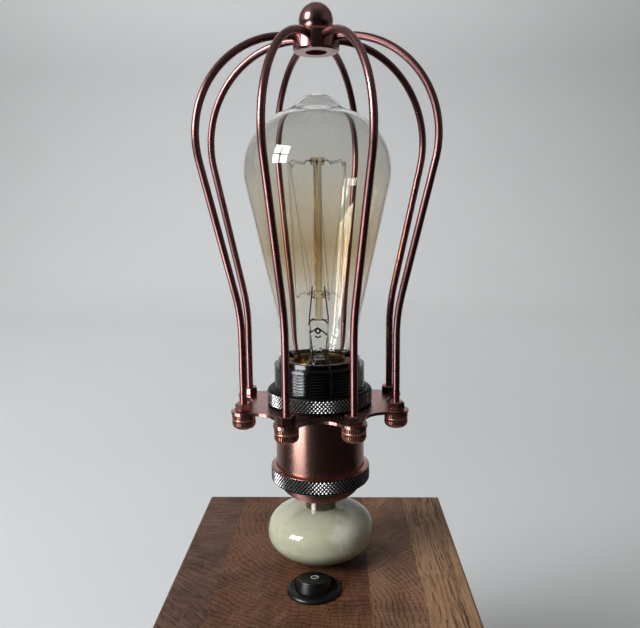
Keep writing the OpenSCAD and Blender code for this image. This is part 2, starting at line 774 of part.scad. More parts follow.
module cap_nuts() {
    g = cap_nut_groove;
    color("#a5664a") at_wires() translate([0, 0, z_plate - cap_nut_h]) rotate_extrude() polygon(concat(
        [[0, 0]],
        arc([cap_nut_r - cap_nut_edge, cap_nut_edge], cap_nut_edge, -90, 0, arc_steps / 2),
        [[cap_nut_r, groove_up - g], [cap_nut_r - g, groove_up], [cap_nut_r, groove_up + g]],
        [[cap_nut_r, cap_nut_h],
        [nut_bore_r, cap_nut_h], [nut_bore_r, cap_nut_h - cap_bore_h], [0, cap_nut_h - cap_bore_h]]));
}

module cage_hub() {
    color("#7c4038") difference() {
        translate([0, 0, z_hub]) rotate_extrude() polygon([
            [stud_r + fit, 0], [hub_r - hub_edge, 0], [hub_r, hub_edge],
            [hub_r, hub_h - hub_edge], [hub_r - hub_edge, hub_h], [stud_r + fit, hub_h]]);
        for (i = [1:wire_count]) rotate([0, 0, wire_angle(i)]) translate([wire_end_r - fit, 0, z_wire_top])
            rotate([0, 90, 0]) cylinder(h = hub_r, r = wire_r + fit);
    }
}

module finial_stud() {
    low = z_hub + stud_tail;
    color("#6d3a33") translate([0, 0, low]) cylinder(h = z_ball + stud_up - low, r = stud_r);
}

module finial_ball() {
    color("#8a4a40") difference() {
        translate([0, 0, z_ball]) sphere(ball_r);
        translate([-ball_r, -ball_r, z_ball - ball_seat - 2 * ball_r]) cube(2 * ball_r);
        translate([0, 0, z_ball - 2 * ball_r]) cylinder(h = 2 * ball_r + stud_up + fit, r = stud_r + fit);
    }
}

module bulb_tip_contact() {
    color("#b7b9bb") translate([0, 0, z_tip]) cylinder(h = tip_t, r = tip_r);
}

module bulb_insulator() {
    color("#15151c") translate([0, 0, z_tip + tip_t]) rotate_extrude() polygon([
        [0, 0], [tip_r + tip_t, 0], [insulator_r, insulator_h],
        [insulator_r, insulator_h + 2 * cap_wall], [0, insulator_h + 2 * cap_wall]]);
}

module bulb_cap() {
    in_r = cap_r - cap_wall;
    color("#c8a251") translate([0, 0, z_cap]) rotate_extrude() polygon([
        [insulator_r + fit, 0], [cap_r - 2 * cap_wall, 0], [cap_r, 2 * cap_wall],
        [cap_r, z_cap_end - z_cap], [in_r, z_cap_end - z_cap],
        [in_r, 2 * cap_wall], [insulator_r + fit, 2 * cap_wall]]);
}

// Outline of the glass from the neck to the tip, drawn in by w. A neck that is wider than the cap
// ends in a step above the cap's rim.
function glass_side(w) =
    let (neck = neck_bend_r - w, shoulder = shoulder_r - w, nipple = nipple_r - w)
    let (straight = acos((glass_neck_r - w - neck_c[0]) / neck))
    let (stepped = asin((neck_c[1] - z_cap_end - fit - w) / neck))
    let (m = meeting(nipple_c, nipple, shoulder_c, shoulder))
    let (over_shoulder = atan2(m[1] - shoulder_c[1], m[0] - shoulder_c[0]))
    concat(
        [[glass_neck_r - w, z_neck]],
        stepped < straight ? [[glass_neck_r - w, neck_c[1] - neck * sin(stepped)]] : [],
        arc(neck_c, neck, -min(straight, stepped), -cone_angle, arc_steps / 2),
        arc(shoulder_c, shoulder, -cone_angle, over_shoulder, arc_steps + 4),
        arc(nipple_c, nipple, atan2(m[1] - nipple_c[1], m[0] - nipple_c[0]), 90, arc_steps - 4));

module bulb_glass() {
    color("#e6dfc8", 0.35) rotate_extrude() polygon(concat(glass_side(0), backwards(glass_side(glass_t))));
}

module bulb_stem() {
    z_flare = z_neck + stem_flare_h;
    color("#dfe3e0", 0.5) {
        translate([0, 0, z_neck]) cylinder(h = stem_flare_h, r1 = stem_foot_r, r2 = pinch_r);
        intersection() {
            translate([0, 0, z_flare]) cylinder(h = z_pinch - z_flare, r = pinch_r);
            translate([-pinch_r, -pinch_t / 2, z_neck]) cube([2 * pinch_r, pinch_t, z_pinch]);
        }
    }
}

// Places of the filament's supports: upper ones all round, lower ones between them
function upper_angle(i) = -90 + i * 360 / support_count;
function lower_angle(i) = upper_angle(i) + 180 / support_count;

// Path of one support from its button out to its hook
function support_path(reach, a, z) = [
    polar(support_seat, a, z), polar(reach / 2, a, z + support_sag / 2),
    polar(reach - hook_len, a, z), polar(reach, a, z - support_sag)];

module bulb_mandrel() {
    color("#e3ded0", 0.6) difference() {
        rotate_extrude() polygon([
            [0, z_pinch], [mandrel_r, z_pinch], [mandrel_r, z_lower - button_h / 2],
            [button_r, z_lower - button_h / 2], [button_r, z_lower + button_h / 2],
            [mandrel_r, z_lower + button_h / 2], [mandrel_r, z_upper - button_h / 2],
            [button_r, z_upper - button_h / 2], [button_r, z_upper + button_h / 2],
            [0, z_upper + button_h / 2]]);
        for (i = [0:support_count - 1]) {
            rotate([0, 0, upper_angle(i)]) translate([support_seat - fit, 0, z_upper])
                support_hole(upper_reach);
            if (i < support_count - 1)
                rotate([0, 0, lower_angle(i)]) translate([support_seat - fit, 0, z_lower])
                    support_hole(lower_reach);
        }
    }
}

// The hole that a support is melted into, along its own slope
module support_hole(reach) {
    slope = atan2(support_sag / 2, reach / 2 - support_seat);
    rotate([0, 90 - slope, 0]) cylinder(h = button_r, r = support_r + fit);
}

module upper_supports() {
    color("#5d5a56") for (i = [0:support_count - 1])
        wire_along(support_path(upper_reach, upper_angle(i), z_upper), support_r, lead_sides);
}

module lower_supports() {
    color("#5d5a56") for (i = [0:support_count - 2])
        wire_along(support_path(lower_reach, lower_angle(i), z_lower), support_r, lead_sides);
}

module bulb_leads() {
    color("#4a4744") for (s = [-1, 1]) wire_along([
        [s * lead_in_x, 0, z_pinch], [s * lead_in_x, 0, z_pinch + lead_in_end],
        [s * lead_in_x, -lead_in_end, z_lower - 2 * lead_in_end],
        [s * lead_in_top[0], lead_in_top[1], lead_in_top[2]]], lead_in_r, lead_sides);
}

// The filament's turn round one hook: in, over (or under) it and out
function filament_turn(r, a, z, rise) = [for (k = [-1:1])
    polar(r, a, z) + filament_bend * k * [-sin(a), cos(a), 0] + [0, 0, k == 0 ? rise : 0]];

module filament() {
    up_r = upper_reach + support_r + filament_r + filament_gap;
    low_r = lower_reach + support_r + filament_r + filament_gap;
    up_z = z_upper - support_sag;
    low_z = z_lower - support_sag;
    start = [-lead_in_top[0], lead_in_top[1] - lead_in_r - filament_r - filament_gap, lead_in_top[2]];
    end = [lead_in_top[0], start[1], start[2]];
    runs = [for (i = [0:support_count - 1]) each concat(
        filament_turn(up_r, upper_angle(i), up_z, filament_bend),
        i < support_count - 1 ? filament_turn(low_r, lower_angle(i), low_z, -filament_bend) : [])];
    color("#8d7a58") wire_along(concat([end], runs, [start]), filament_r, lead_sides - 2);
}

// A lead's way up the hollow rod and through the porcelain core
function up_the_rod(x) = [
    [x, 0, z_rod - lead_end], [x, 0, z_dome + boss_h], [(x + sign(x) * core_hole_x) / 2, 0, z_core],
    [sign(x) * core_hole_x, 0, z_core + core_well_h / 2], [sign(x) * core_hole_x, 0, z_socket - loose]];

// A lead's straight end in a channel of the terminal block
function from_block(x) = [
    [x, block_y, z_channel], [x, block_y - block_size[1] / 2 - lead_end, z_channel]];

module live_lead() {
    x = switch_x + blade_t;
    y = switch_y + contact_y + blade_t / 2 + fit;
    color("#6b3d24") wire_along(concat(from_block(channel_x), [
        [channel_x + loop_out, 0, z_roof - 1.5 * loop_drop],
        [channel_x + loop_out / 2, switch_y / 2, z_blade - 2 * lead_end],
        [x, y + lead_end, z_blade], [x, y, z_blade]]), lead_r, lead_sides);
}

module switched_lead() {
    x = switch_x - loop_out;
    y = switch_y - blade_t / 2 - fit;
    color("#a8a8a8") wire_along(concat([
        [switch_x, y, z_blade], [switch_x, y - lead_end, z_blade],
        [x, y - lead_end, z_blade - loop_drop], [x, y + loop_drop, z_loop],
        [-2 * rod_lane, -loop_out, z_loop]], up_the_rod(-rod_lane)), lead_r, lead_sides);
}

module neutral_lead() {
    color("#3d5f9a") wire_along(concat(from_block(-channel_x), [
        [-channel_x, loop_out, z_channel - loop_out], [rod_lane, loop_out, z_loop]],
        up_the_rod(rod_lane)), lead_r, lead_sides);
}

base_stave(1);  // base_stave_1
base_stave(2);  // base_stave_2
base_stave(3);  // base_stave_3
base_stave(4);  // base_stave_4
base_cover();
cover_screws();
feet();
cord_grommet();
terminal_block();
terminal_screws();
block_screw();
switch_housing();
rocker();
contact_lever();
switch_terminals();
centre_rod();
rod_washer();
rod_nut();
onyx_bead();
steel_collar();
holder_dome();
lower_ring();
holder_shell();
holder_core();
socket_shell();
centre_contact();
holder_sleeve();
cage_plate();
shade_ring();
cage_wire(1);  // cage_wire_1
cage_wire(2);  // cage_wire_2
cage_wire(3);  // cage_wire_3
cage_wire(4);  // cage_wire_4
cage_wire(5);  // cage_wire_5
cage_wire(6);  // cage_wire_6
cage_wire(7);  // cage_wire_7
cage_wire(8);  // cage_wire_8
hex_nuts();
cap_nuts();
cage_hub();
finial_stud();
finial_ball();
bulb_tip_contact();
bulb_insulator();
bulb_cap();
bulb_glass();
bulb_stem();
bulb_mandrel();
bulb_leads();
upper_supports();
lower_supports();
filament();
live_lead();
switched_lead();
neutral_lead();
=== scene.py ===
# Cube table lamp: an oak cube with a rocker switch, an onyx bead, a copper screw-ring lamp holder,
# a pear-shaped filament bulb and a cage of eight bent copper wires under a ball finial.
import math
import bmesh
import bpy
from mathutils import Matrix, Vector


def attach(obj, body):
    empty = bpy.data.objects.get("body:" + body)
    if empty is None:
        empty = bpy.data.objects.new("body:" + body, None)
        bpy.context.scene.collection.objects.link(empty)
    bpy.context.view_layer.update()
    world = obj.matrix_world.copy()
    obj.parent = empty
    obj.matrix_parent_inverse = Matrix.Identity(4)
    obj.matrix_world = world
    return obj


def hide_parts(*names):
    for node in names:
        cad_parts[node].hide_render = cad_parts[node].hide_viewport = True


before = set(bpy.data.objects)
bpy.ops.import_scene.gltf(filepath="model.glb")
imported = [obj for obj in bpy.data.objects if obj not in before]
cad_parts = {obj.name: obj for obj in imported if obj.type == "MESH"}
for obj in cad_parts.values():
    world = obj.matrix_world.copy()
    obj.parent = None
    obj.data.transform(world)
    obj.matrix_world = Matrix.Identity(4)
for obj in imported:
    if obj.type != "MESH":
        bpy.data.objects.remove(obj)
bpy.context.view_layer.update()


# Camera
# It stands an arm's length in front of the lamp at the height of the bulb, looks a little down
# and is held slightly crooked, as in the photograph.
eye = Vector((0.009151, -0.291558, 0.291499))
down, aside, crooked = math.radians(8.456), math.radians(-1.694), math.radians(-0.571)
to_right = Vector((math.cos(aside), -math.sin(aside), 0))
ahead = Vector((math.sin(aside) * math.cos(down), math.cos(aside) * math.cos(down), -math.sin(down)))
upward = Vector((math.sin(aside) * math.sin(down), math.cos(aside) * math.sin(down), math.cos(down)))
image_right = to_right * math.cos(crooked) + upward * math.sin(crooked)
image_up = upward * math.cos(crooked) - to_right * math.sin(crooked)
image_width, focal_pixels = 640, 656.844
lens = bpy.data.cameras.new("camera")
lens.sensor_fit, lens.sensor_width, lens.clip_start = "HORIZONTAL", 36, 0.01
lens.lens = focal_pixels / image_width * lens.sensor_width
camera = bpy.data.objects.new("camera", lens)
turned_to = Matrix((image_right, image_up, -ahead)).transposed().to_4x4()
camera.matrix_world = Matrix.Translation(eye) @ turned_to
bpy.context.scene.collection.objects.link(camera)
bpy.context.scene.camera = camera


# Oak cube
# Four oak staves, glued side by side and planed to a cube. Three show end grain on top and one
# shows long grain; the cube is eased along its edges and rubbed with oil.
def plug_in(tree, kind, inputs=None, **settings):
    node = tree.nodes.new(kind)
    for name, value in settings.items():
        setattr(node, name, value)
    for key, value in (inputs or {}).items():
        if isinstance(value, bpy.types.NodeSocket):
            tree.links.new(value, node.inputs[key])
        else:
            node.inputs[key].default_value = value
    return node


def figure(tree, operation, *numbers, clamp=False):
    return plug_in(tree, "ShaderNodeMath", dict(enumerate(numbers)), operation=operation,
                   use_clamp=clamp).outputs[0]


def vector_figure(tree, operation, first, second=None, scale=None):
    inputs = {0: first}
    if second is not None:
        inputs[1] = second
    if scale is not None:
        inputs["Scale"] = scale
    node = plug_in(tree, "ShaderNodeVectorMath", inputs, operation=operation)
    return node.outputs["Value" if operation in ("LENGTH", "DOT_PRODUCT", "DISTANCE") else "Vector"]


def between(tree, value, low, high, out_low=0.0, out_high=1.0):
    return plug_in(tree, "ShaderNodeMapRange", {
        "Value": value, "From Min": low, "From Max": high, "To Min": out_low, "To Max": out_high}).outputs[0]


def tint(tree, factor, first, second, way="MIX"):
    return plug_in(tree, "ShaderNodeMix", {0: factor, 6: first, 7: second},
                   data_type="RGBA", blend_type=way).outputs[2]


def speckle(tree, vector, scale, detail=2.0, rough=0.5):
    return plug_in(tree, "ShaderNodeTexNoise", {
        "Vector": vector, "Scale": scale, "Detail": detail, "Roughness": rough}).outputs


def effect(name, takes, gives):
    group = bpy.data.node_groups.new(name, "ShaderNodeTree")
    for label, kind, value in takes:
        group.interface.new_socket(label, in_out="INPUT", socket_type=kind).default_value = value
    for label, kind in gives:
        group.interface.new_socket(label, in_out="OUTPUT", socket_type=kind)
    return group, group.nodes.new("NodeGroupInput").outputs, group.nodes.new("NodeGroupOutput").inputs


def new_finish(name, **plain):
    finish = bpy.data.materials.new(name)
    finish.use_nodes = True
    shader = finish.node_tree.nodes["Principled BSDF"]
    for label, value in plain.items():
        shader.inputs[label.replace("_", " ")].default_value = value
    place = plug_in(finish.node_tree, "ShaderNodeTexCoord").outputs["Object"]
    return finish, finish.node_tree, shader, place


def raise_by(tree, shader, height, strength, distance):
    bump = plug_in(tree, "ShaderNodeBump", {"Height": height, "Strength": strength, "Distance": distance})
    tree.links.new(bump.outputs[0], shader.inputs["Normal"])


def dress(finish, *nodes):
    for name in nodes:
        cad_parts[name].data.materials.clear()
        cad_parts[name].data.materials.append(finish)


oak, given, made = effect("oak_grain", [
    ("Grain", "NodeSocketVector", (0, 0, 0)), ("Early", "NodeSocketColor", (0.1, 0.06, 0.03, 1)),
    ("Late", "NodeSocketColor", (0.2, 0.1, 0.06, 1)), ("Ring", "NodeSocketFloat", 3.0),
    ("Contrast", "NodeSocketFloat", 0.5), ("Rays", "NodeSocketFloat", 0.2),
    ("Hatch", "NodeSocketFloat", 0.3), ("Waver", "NodeSocketFloat", 9.0),
    ("Pores", "NodeSocketFloat", 0.7), ("Streaks", "NodeSocketFloat", 0.0)],
    [("Color", "NodeSocketColor"), ("Roughness", "NodeSocketFloat"), ("Height", "NodeSocketFloat")])
calm = vector_figure(oak, "MULTIPLY", given["Grain"], (1, 1, 0.1))
drift = vector_figure(oak, "SUBTRACT", speckle(oak, calm, 0.035, 2)["Color"], (0.5, 0.5, 0.5))
bent = vector_figure(oak, "ADD", calm, vector_figure(oak, "SCALE", drift, scale=given["Waver"]))
ripple = vector_figure(oak, "SUBTRACT", speckle(oak, vector_figure(
    oak, "MULTIPLY", given["Grain"], (1, 1, 0.45)), 0.1, 2)["Color"], (0.5, 0.5, 0.5))
bent = vector_figure(oak, "ADD", bent, vector_figure(oak, "SCALE", ripple, scale=3.2))
across = vector_figure(oak, "MULTIPLY", bent, (1, 1, 0))
age = vector_figure(oak, "LENGTH", across)
years = figure(oak, "ADD", figure(oak, "DIVIDE", age, given["Ring"]),
               figure(oak, "MULTIPLY", speckle(oak, across, 0.09, 1)["Fac"], 1.6))
ring = figure(oak, "FRACT", years)
early = figure(oak, "MULTIPLY", between(oak, ring, 0.0, 0.08), between(oak, ring, 0.1, 0.45, 1.0, 0.0))
long_cells = vector_figure(oak, "MULTIPLY", given["Grain"], (1.05, 1.05, 0.05))
pore = plug_in(oak, "ShaderNodeTexVoronoi", {"Vector": long_cells, "Scale": 1.0}).outputs["Distance"]
pores = figure(oak, "MULTIPLY", between(oak, pore, 0.24, 0.42, 1.0, 0.0),
               between(oak, early, 0.25, 0.75, 0.12, 1.0))
parts = plug_in(oak, "ShaderNodeSeparateXYZ", {0: bent}).outputs
bearing = figure(oak, "ARCTAN2", parts["Y"], parts["X"])


def spokes(around, outward):
    return plug_in(oak, "ShaderNodeCombineXYZ", {
        "X": figure(oak, "MULTIPLY", bearing, around), "Y": figure(oak, "MULTIPLY", age, outward),
        "Z": figure(oak, "MULTIPLY", parts["Z"], 0.6)}).outputs[0]


rays = between(oak, speckle(oak, spokes(42.0, 0.05), 1.0, 1)["Fac"], 0.58, 0.7)
hatch = between(oak, speckle(oak, spokes(115.0, 0.07), 1.0, 2)["Fac"], 0.42, 0.68)
fibre = speckle(oak, vector_figure(oak, "MULTIPLY", given["Grain"], (2.6, 2.6, 0.07)), 1.0, 3, 0.6)["Fac"]
cloud = speckle(oak, calm, 0.06, 2)["Fac"]
streaks = speckle(oak, vector_figure(oak, "MULTIPLY", bent, (1.3, 1.3, 0.08)), 1.0, 4, 0.65)["Fac"]
streaks = figure(oak, "MULTIPLY", between(oak, streaks, 0.3, 0.7, -0.5, 0.5), given["Streaks"])
mottle = figure(oak, "ADD", fibre, figure(oak, "MULTIPLY", cloud, 1.1))
depth = figure(oak, "ADD", figure(oak, "MULTIPLY", early, given["Contrast"]), streaks)
depth = figure(oak, "ADD", depth, between(oak, mottle, 0.78, 1.35, -0.25, 0.6), clamp=True)
wood = tint(oak, depth, given["Late"], given["Early"])
wood = tint(oak, figure(oak, "MULTIPLY", hatch, given["Hatch"]), wood, given["Early"])
wood = tint(oak, figure(oak, "MULTIPLY", pores, given["Pores"]), wood, (0.014, 0.007, 0.004, 1))
wood = tint(oak, figure(oak, "MULTIPLY", rays, given["Rays"]), wood, (0.36, 0.235, 0.15, 1))
oak.links.new(wood, made["Color"])
oak.links.new(figure(oak, "ADD", figure(oak, "MULTIPLY", fibre, 0.16),
                     figure(oak, "MULTIPLY", pores, 0.22)), made["Roughness"])
oak.links.new(figure(oak, "SUBTRACT", figure(oak, "MULTIPLY", fibre, 0.5), pores), made["Height"])

scuffs, given, made = effect("fine_marks", [
    ("Place", "NodeSocketVector", (0, 0, 0)), ("Scale", "NodeSocketFloat", 1.0)],
    [("Smudge", "NodeSocketFloat"), ("Lines", "NodeSocketFloat")])
marks = vector_figure(scuffs, "SCALE", given["Place"], scale=given["Scale"])
scuffs.links.new(speckle(scuffs, marks, 90.0, 4, 0.6)["Fac"], made["Smudge"])
one_way = speckle(scuffs, vector_figure(scuffs, "MULTIPLY", marks, (900, 60, 300)), 1.0, 2)["Fac"]
other_way = speckle(scuffs, vector_figure(scuffs, "MULTIPLY", marks, (60, 1100, 300)), 1.0, 2)["Fac"]
scuffs.links.new(figure(scuffs, "ADD", between(scuffs, one_way, 0.6, 0.75),
                        between(scuffs, other_way, 0.62, 0.75), clamp=True), made["Lines"])

# Each stave's heart lies at its own place, so its rings and long sides run as the photograph shows.
staves = {
    "base_stave_1": (
        "oak_dark", (150, -40, 0), 0.0, (0.021, 0.0098, 0.0062), (0.125, 0.063, 0.042),
        dict(Ring=1.3, Contrast=0.65, Rays=0.08, Hatch=0.75, Waver=7.0, Pores=0.85, Streaks=0.1)),
    "base_stave_2": (
        "oak_end", (-14, -38, 0), 0.0, (0.025, 0.0095, 0.0044), (0.143, 0.061, 0.031),
        dict(Ring=2.6, Contrast=0.55, Rays=0.10, Hatch=0.5, Waver=9.0, Pores=0.9, Streaks=0.1)),
    "base_stave_3": (
        "oak_rift", (23, 53, 0), 0.0, (0.036, 0.0155, 0.0075), (0.225, 0.112, 0.060),
        dict(Ring=2.2, Contrast=0.55, Rays=0.16, Hatch=0.45, Waver=9.0, Pores=0.8, Streaks=0.1)),
    "base_stave_4": (
        "oak_long", (-38, 84, 0), math.pi / 2, (0.05, 0.0245, 0.012), (0.285, 0.158, 0.082),
        dict(Ring=0.8, Contrast=0.35, Rays=0.04, Hatch=0.0, Waver=4.5, Pores=0.35, Streaks=2.2)),
}
for node, (name, heart, laid_over, dark, pale, growth) in staves.items():
    finish, tree, shader, place = new_finish(name, Specular_IOR_Level=0.15)
    grain = plug_in(tree, "ShaderNodeMapping", {
        "Vector": place, "Location": heart, "Rotation": (laid_over, 0, 0),
        "Scale": (1000, 1000, 1000)}).outputs[0]
    boards = plug_in(tree, "ShaderNodeGroup", {
        "Grain": grain, "Early": (*dark, 1), "Late": (*pale, 1), **growth}, node_tree=oak).outputs
    sanding = plug_in(tree, "ShaderNodeGroup", {"Place": place, "Scale": 1.6}, node_tree=scuffs).outputs
    tree.links.new(tint(tree, figure(tree, "MULTIPLY", sanding["Lines"], 0.16), boards["Color"],
                        (0.3, 0.22, 0.16, 1)), shader.inputs["Base Color"])
    tree.links.new(figure(tree, "ADD", figure(tree, "MULTIPLY", sanding["Smudge"], 0.25),
                          figure(tree, "ADD", boards["Roughness"], 0.3)), shader.inputs["Roughness"])
    raise_by(tree, shader, boards["Height"], 0.35, 0.0002)
    dress(finish, node)


# Rocker switch
# A round snap-in switch of moulded black nylon: a low bezel, a rocker that tilts on two pins, a brass
# contact lever below it and two tinned blades. A pale ring is printed in the middle of the rocker.
def plastic(name, color, low, high, grain_size, grain_depth):
    finish, tree, shader, place = new_finish(name)
    marks = plug_in(tree, "ShaderNodeGroup", {"Place": place, "Scale": 1.0}, node_tree=scuffs).outputs
    tree.links.new(between(tree, marks["Smudge"], 0.3, 0.7, low, high), shader.inputs["Roughness"])
    tree.links.new(tint(tree, figure(tree, "MULTIPLY", marks["Smudge"], 0.5), (*color, 1),
                        (*(c * 1.5 + 0.001 for c in color), 1)), shader.inputs["Base Color"])
    raise_by(tree, shader, speckle(tree, place, grain_size, 2)["Fac"], 0.25, grain_depth)
    return finish


mm = 0.001


def ring_of(bm, points):
    return [bm.verts.new(Vector(p) * mm) for p in points]


def bridge(bm, first, second):
    count = len(first)
    for i in range(count):
        j = (i + 1) % count
        bm.faces.new((first[i], first[j], second[j], second[i]))


def as_piece(name, bm, finish, sharp=30):
    bmesh.ops.remove_doubles(bm, verts=bm.verts, dist=0.000002)
    bmesh.ops.recalc_face_normals(bm, faces=bm.faces)
    mesh = bpy.data.meshes.new(name)
    bm.to_mesh(mesh)
    bm.free()
    mesh.shade_smooth()
    mesh.set_sharp_from_angle(angle=math.radians(sharp))
    mesh.materials.append(finish)
    piece = bpy.data.objects.new(name, mesh)
    bpy.context.scene.collection.objects.link(piece)
    return piece


def fit_piece(piece, body, slot, *nodes):
    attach(piece, body)
    if nodes:
        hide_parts(*nodes)


def turned(bm, profile, steps=128, swell=None):
    rings = []
    for r, z in profile:
        spots = []
        for i in range(steps):
            angle = 2 * math.pi * i / steps
            reach = swell(angle, r, z) if swell else r
            spots.append((reach * math.cos(angle), reach * math.sin(angle), z))
        rings.append(ring_of(bm, spots if r > 1e-6 else spots[:1]))
    for first, second in zip(rings, rings[1:] + rings[:1]):
        if len(first) == 1 and len(second) == 1:
            continue
        if len(first) == 1 or len(second) == 1:
            tip, rim = (first[0], second) if len(first) == 1 else (second[0], first)
            for i in range(steps):
                bm.faces.new((tip, rim[i], rim[(i + 1) % steps]))
        else:
            bridge(bm, first, second)


def arc(centre, r, start, end, steps):
    angles = [math.radians(start + (end - start) * k / steps) for k in range(steps + 1)]
    return [(centre[0] + r * math.cos(a), centre[1] + r * math.sin(a)) for a in angles]


switch_black = plastic("switch_black", (0.0018, 0.0019, 0.0022), 0.29, 0.38, 1500, 0.00009)
dress(switch_black, "switch_housing")
rocker_pivot, rocker_lean = Vector((-2.4, -30.4, 133.5)), math.radians(-10)
rest_tilt = Matrix.Translation(rocker_pivot * mm) @ Matrix.Rotation(rocker_lean, 4, "X")
bm = bmesh.new()
turned(bm, [(0, -3.5), (7.2, -3.5), (7.4, -3.3), (7.97, -0.1), (7.97, 0.2)]
       + arc((6.62, 4.16), 0.7, 10, 84, 8) + [(5.2, 4.9), (3.6, 4.95), (1.8, 4.98), (0, 5.0)])
bmesh.ops.transform(bm, matrix=rest_tilt, verts=bm.verts)
for along, low, high, thick in (("stem", -12.4, -3.4, 1.5), ("pins", -9.1, 9.1, 1.0)):
    ends = []
    for s in (low, high):
        flat = [(thick * math.cos(a), thick * math.sin(a), s) for a in [math.pi * k / 12 for k in range(24)]]
        ends.append(ring_of(bm, [p if along == "stem" else (p[2], p[0], p[1]) for p in flat]))
    bridge(bm, *ends)
    bm.faces.new(list(reversed(ends[0])))
    bm.faces.new(ends[1])
    bmesh.ops.transform(bm, matrix=rest_tilt, verts=ends[0] + ends[1])
fit_piece(as_piece("rocker_cap", bm, switch_black, 40), "rocker", "switch_black", "rocker")

printed, tree, shader, place = new_finish("printed_ring", Roughness=0.5)
worn = speckle(tree, place, 2400, 2)["Fac"]
tree.links.new(tint(tree, between(tree, worn, 0.35, 0.65), (0.62, 0.62, 0.60, 1), (0.78, 0.78, 0.76, 1)),
               shader.inputs["Base Color"])
bm = bmesh.new()
turned(bm, [(1.42, 4.97), (1.7, 4.97), (1.7, 5.03), (1.42, 5.03)], steps=64)
bmesh.ops.transform(bm, matrix=rest_tilt @ Matrix.Translation((0.0004, -0.0002, 0)), verts=bm.verts)
fit_piece(as_piece("rocker_mark", bm, printed), "rocker", "switch_black")


def metal(name, color, low, high, marks_scale=1.0, line_depth=0.00002, dull=None):
    finish, tree, shader, place = new_finish(name, Metallic=1.0)
    marks = plug_in(tree, "ShaderNodeGroup", {"Place": place, "Scale": marks_scale}, node_tree=scuffs).outputs
    tree.links.new(figure(tree, "ADD", between(tree, marks["Smudge"], 0.3, 0.7, low, high),
                          figure(tree, "MULTIPLY", marks["Lines"], 0.06)), shader.inputs["Roughness"])
    dull = dull or tuple(c * 0.78 for c in color)
    tree.links.new(tint(tree, between(tree, marks["Smudge"], 0.38, 0.72), (*color, 1), (*dull, 1)),
                   shader.inputs["Base Color"])
    raise_by(tree, shader, marks["Lines"], 0.05, line_depth)
    return finish


brass = metal("brass", (0.72, 0.49, 0.20), 0.2, 0.38)
tinned = metal("tinned", (0.62, 0.61, 0.58), 0.25, 0.42)
dress(brass, "contact_lever")
dress(tinned, "switch_terminals")


# Cord inlet and wiring inside the cube
# A black grommet lines the hole in the back. Brown, grey and blue leads run between the switch's
# blades and a cream terminal block that one wood screw holds under the roof.
dress(plastic("black_plastic", (0.014, 0.014, 0.015), 0.35, 0.55, 1800, 0.00005), "cord_grommet")
dress(plastic("cream_plastic", (0.68, 0.63, 0.50), 0.35, 0.5, 1500, 0.00004), "terminal_block")
for name, color, node in (("lead_brown", (0.16, 0.065, 0.03), "live_lead"),
                          ("lead_grey", (0.24, 0.245, 0.25), "switched_lead"),
                          ("lead_blue", (0.03, 0.13, 0.36), "neutral_lead")):
    dress(plastic(name, color, 0.35, 0.5, 900, 0.00003), node)
dress(brass, "terminal_screws")
zinc = metal("zinc", (0.60, 0.53, 0.36), 0.22, 0.4)
dress(zinc, "block_screw")


# Cover, its screws and the feet
# A thin board closes the pocket under the cube. Four cross-head wood screws hold it, and four
# turned rubber feet stand at the corners.
def eased(corners, radius, steps=3):
    profile, count = [], len(corners)
    for i, corner in enumerate(corners):
        here, before, after = Vector(corner), Vector(corners[i - 1]), Vector(corners[(i + 1) % count])
        back, on = before - here, after - here
        cut = min(radius, back.length * 0.45, on.length * 0.45)
        if corner[0] < 1e-6 or cut < 1e-6:
            profile.append(corner)
            continue
        start, end = here + back.normalized() * cut, here + on.normalized() * cut
        for k in range(steps + 1):
            t = k / steps
            spot = start * (1 - t) ** 2 + here * 2 * t * (1 - t) + end * t ** 2
            profile.append((spot.x, spot.y))
    return profile


def grower(name, takes):
    tree = bpy.data.node_groups.new(name, "GeometryNodeTree")
    for label, kind in takes:
        tree.interface.new_socket(label, in_out="INPUT", socket_type=kind)
    tree.interface.new_socket("Geometry", in_out="OUTPUT", socket_type="NodeSocketGeometry")
    return tree, tree.nodes.new("NodeGroupInput").outputs, tree.nodes.new("NodeGroupOutput").inputs


def close_grower(tree, given, made, geometry):
    whole = plug_in(tree, "GeometryNodeRealizeInstances", {0: geometry}).outputs[0]
    painted = plug_in(tree, "GeometryNodeSetMaterial", {"Geometry": whole, "Material": given["Finish"]})
    tree.links.new(painted.outputs[0], made["Geometry"])


def grow(name, tree, sharp=30, **sizes):
    piece = bpy.data.objects.new(name, bpy.data.meshes.new(name))
    bpy.context.scene.collection.objects.link(piece)
    work = piece.modifiers.new("grow", "NODES")
    work.node_group = tree
    sockets = {s.name: s.identifier for s in tree.interface.items_tree if s.in_out == "INPUT"}
    for label, value in sizes.items():
        work[sockets[label.replace("_", " ")]] = value
    bpy.context.view_layer.update()
    mesh = bpy.data.meshes.new_from_object(piece.evaluated_get(bpy.context.evaluated_depsgraph_get()))
    piece.modifiers.remove(work)
    piece.data = mesh
    mesh.name = name
    mesh.shade_smooth()
    mesh.set_sharp_from_angle(angle=math.radians(sharp))
    for pattern in [v for v in sizes.values() if isinstance(v, bpy.types.Object)]:
        bpy.data.objects.remove(pattern)
    return piece


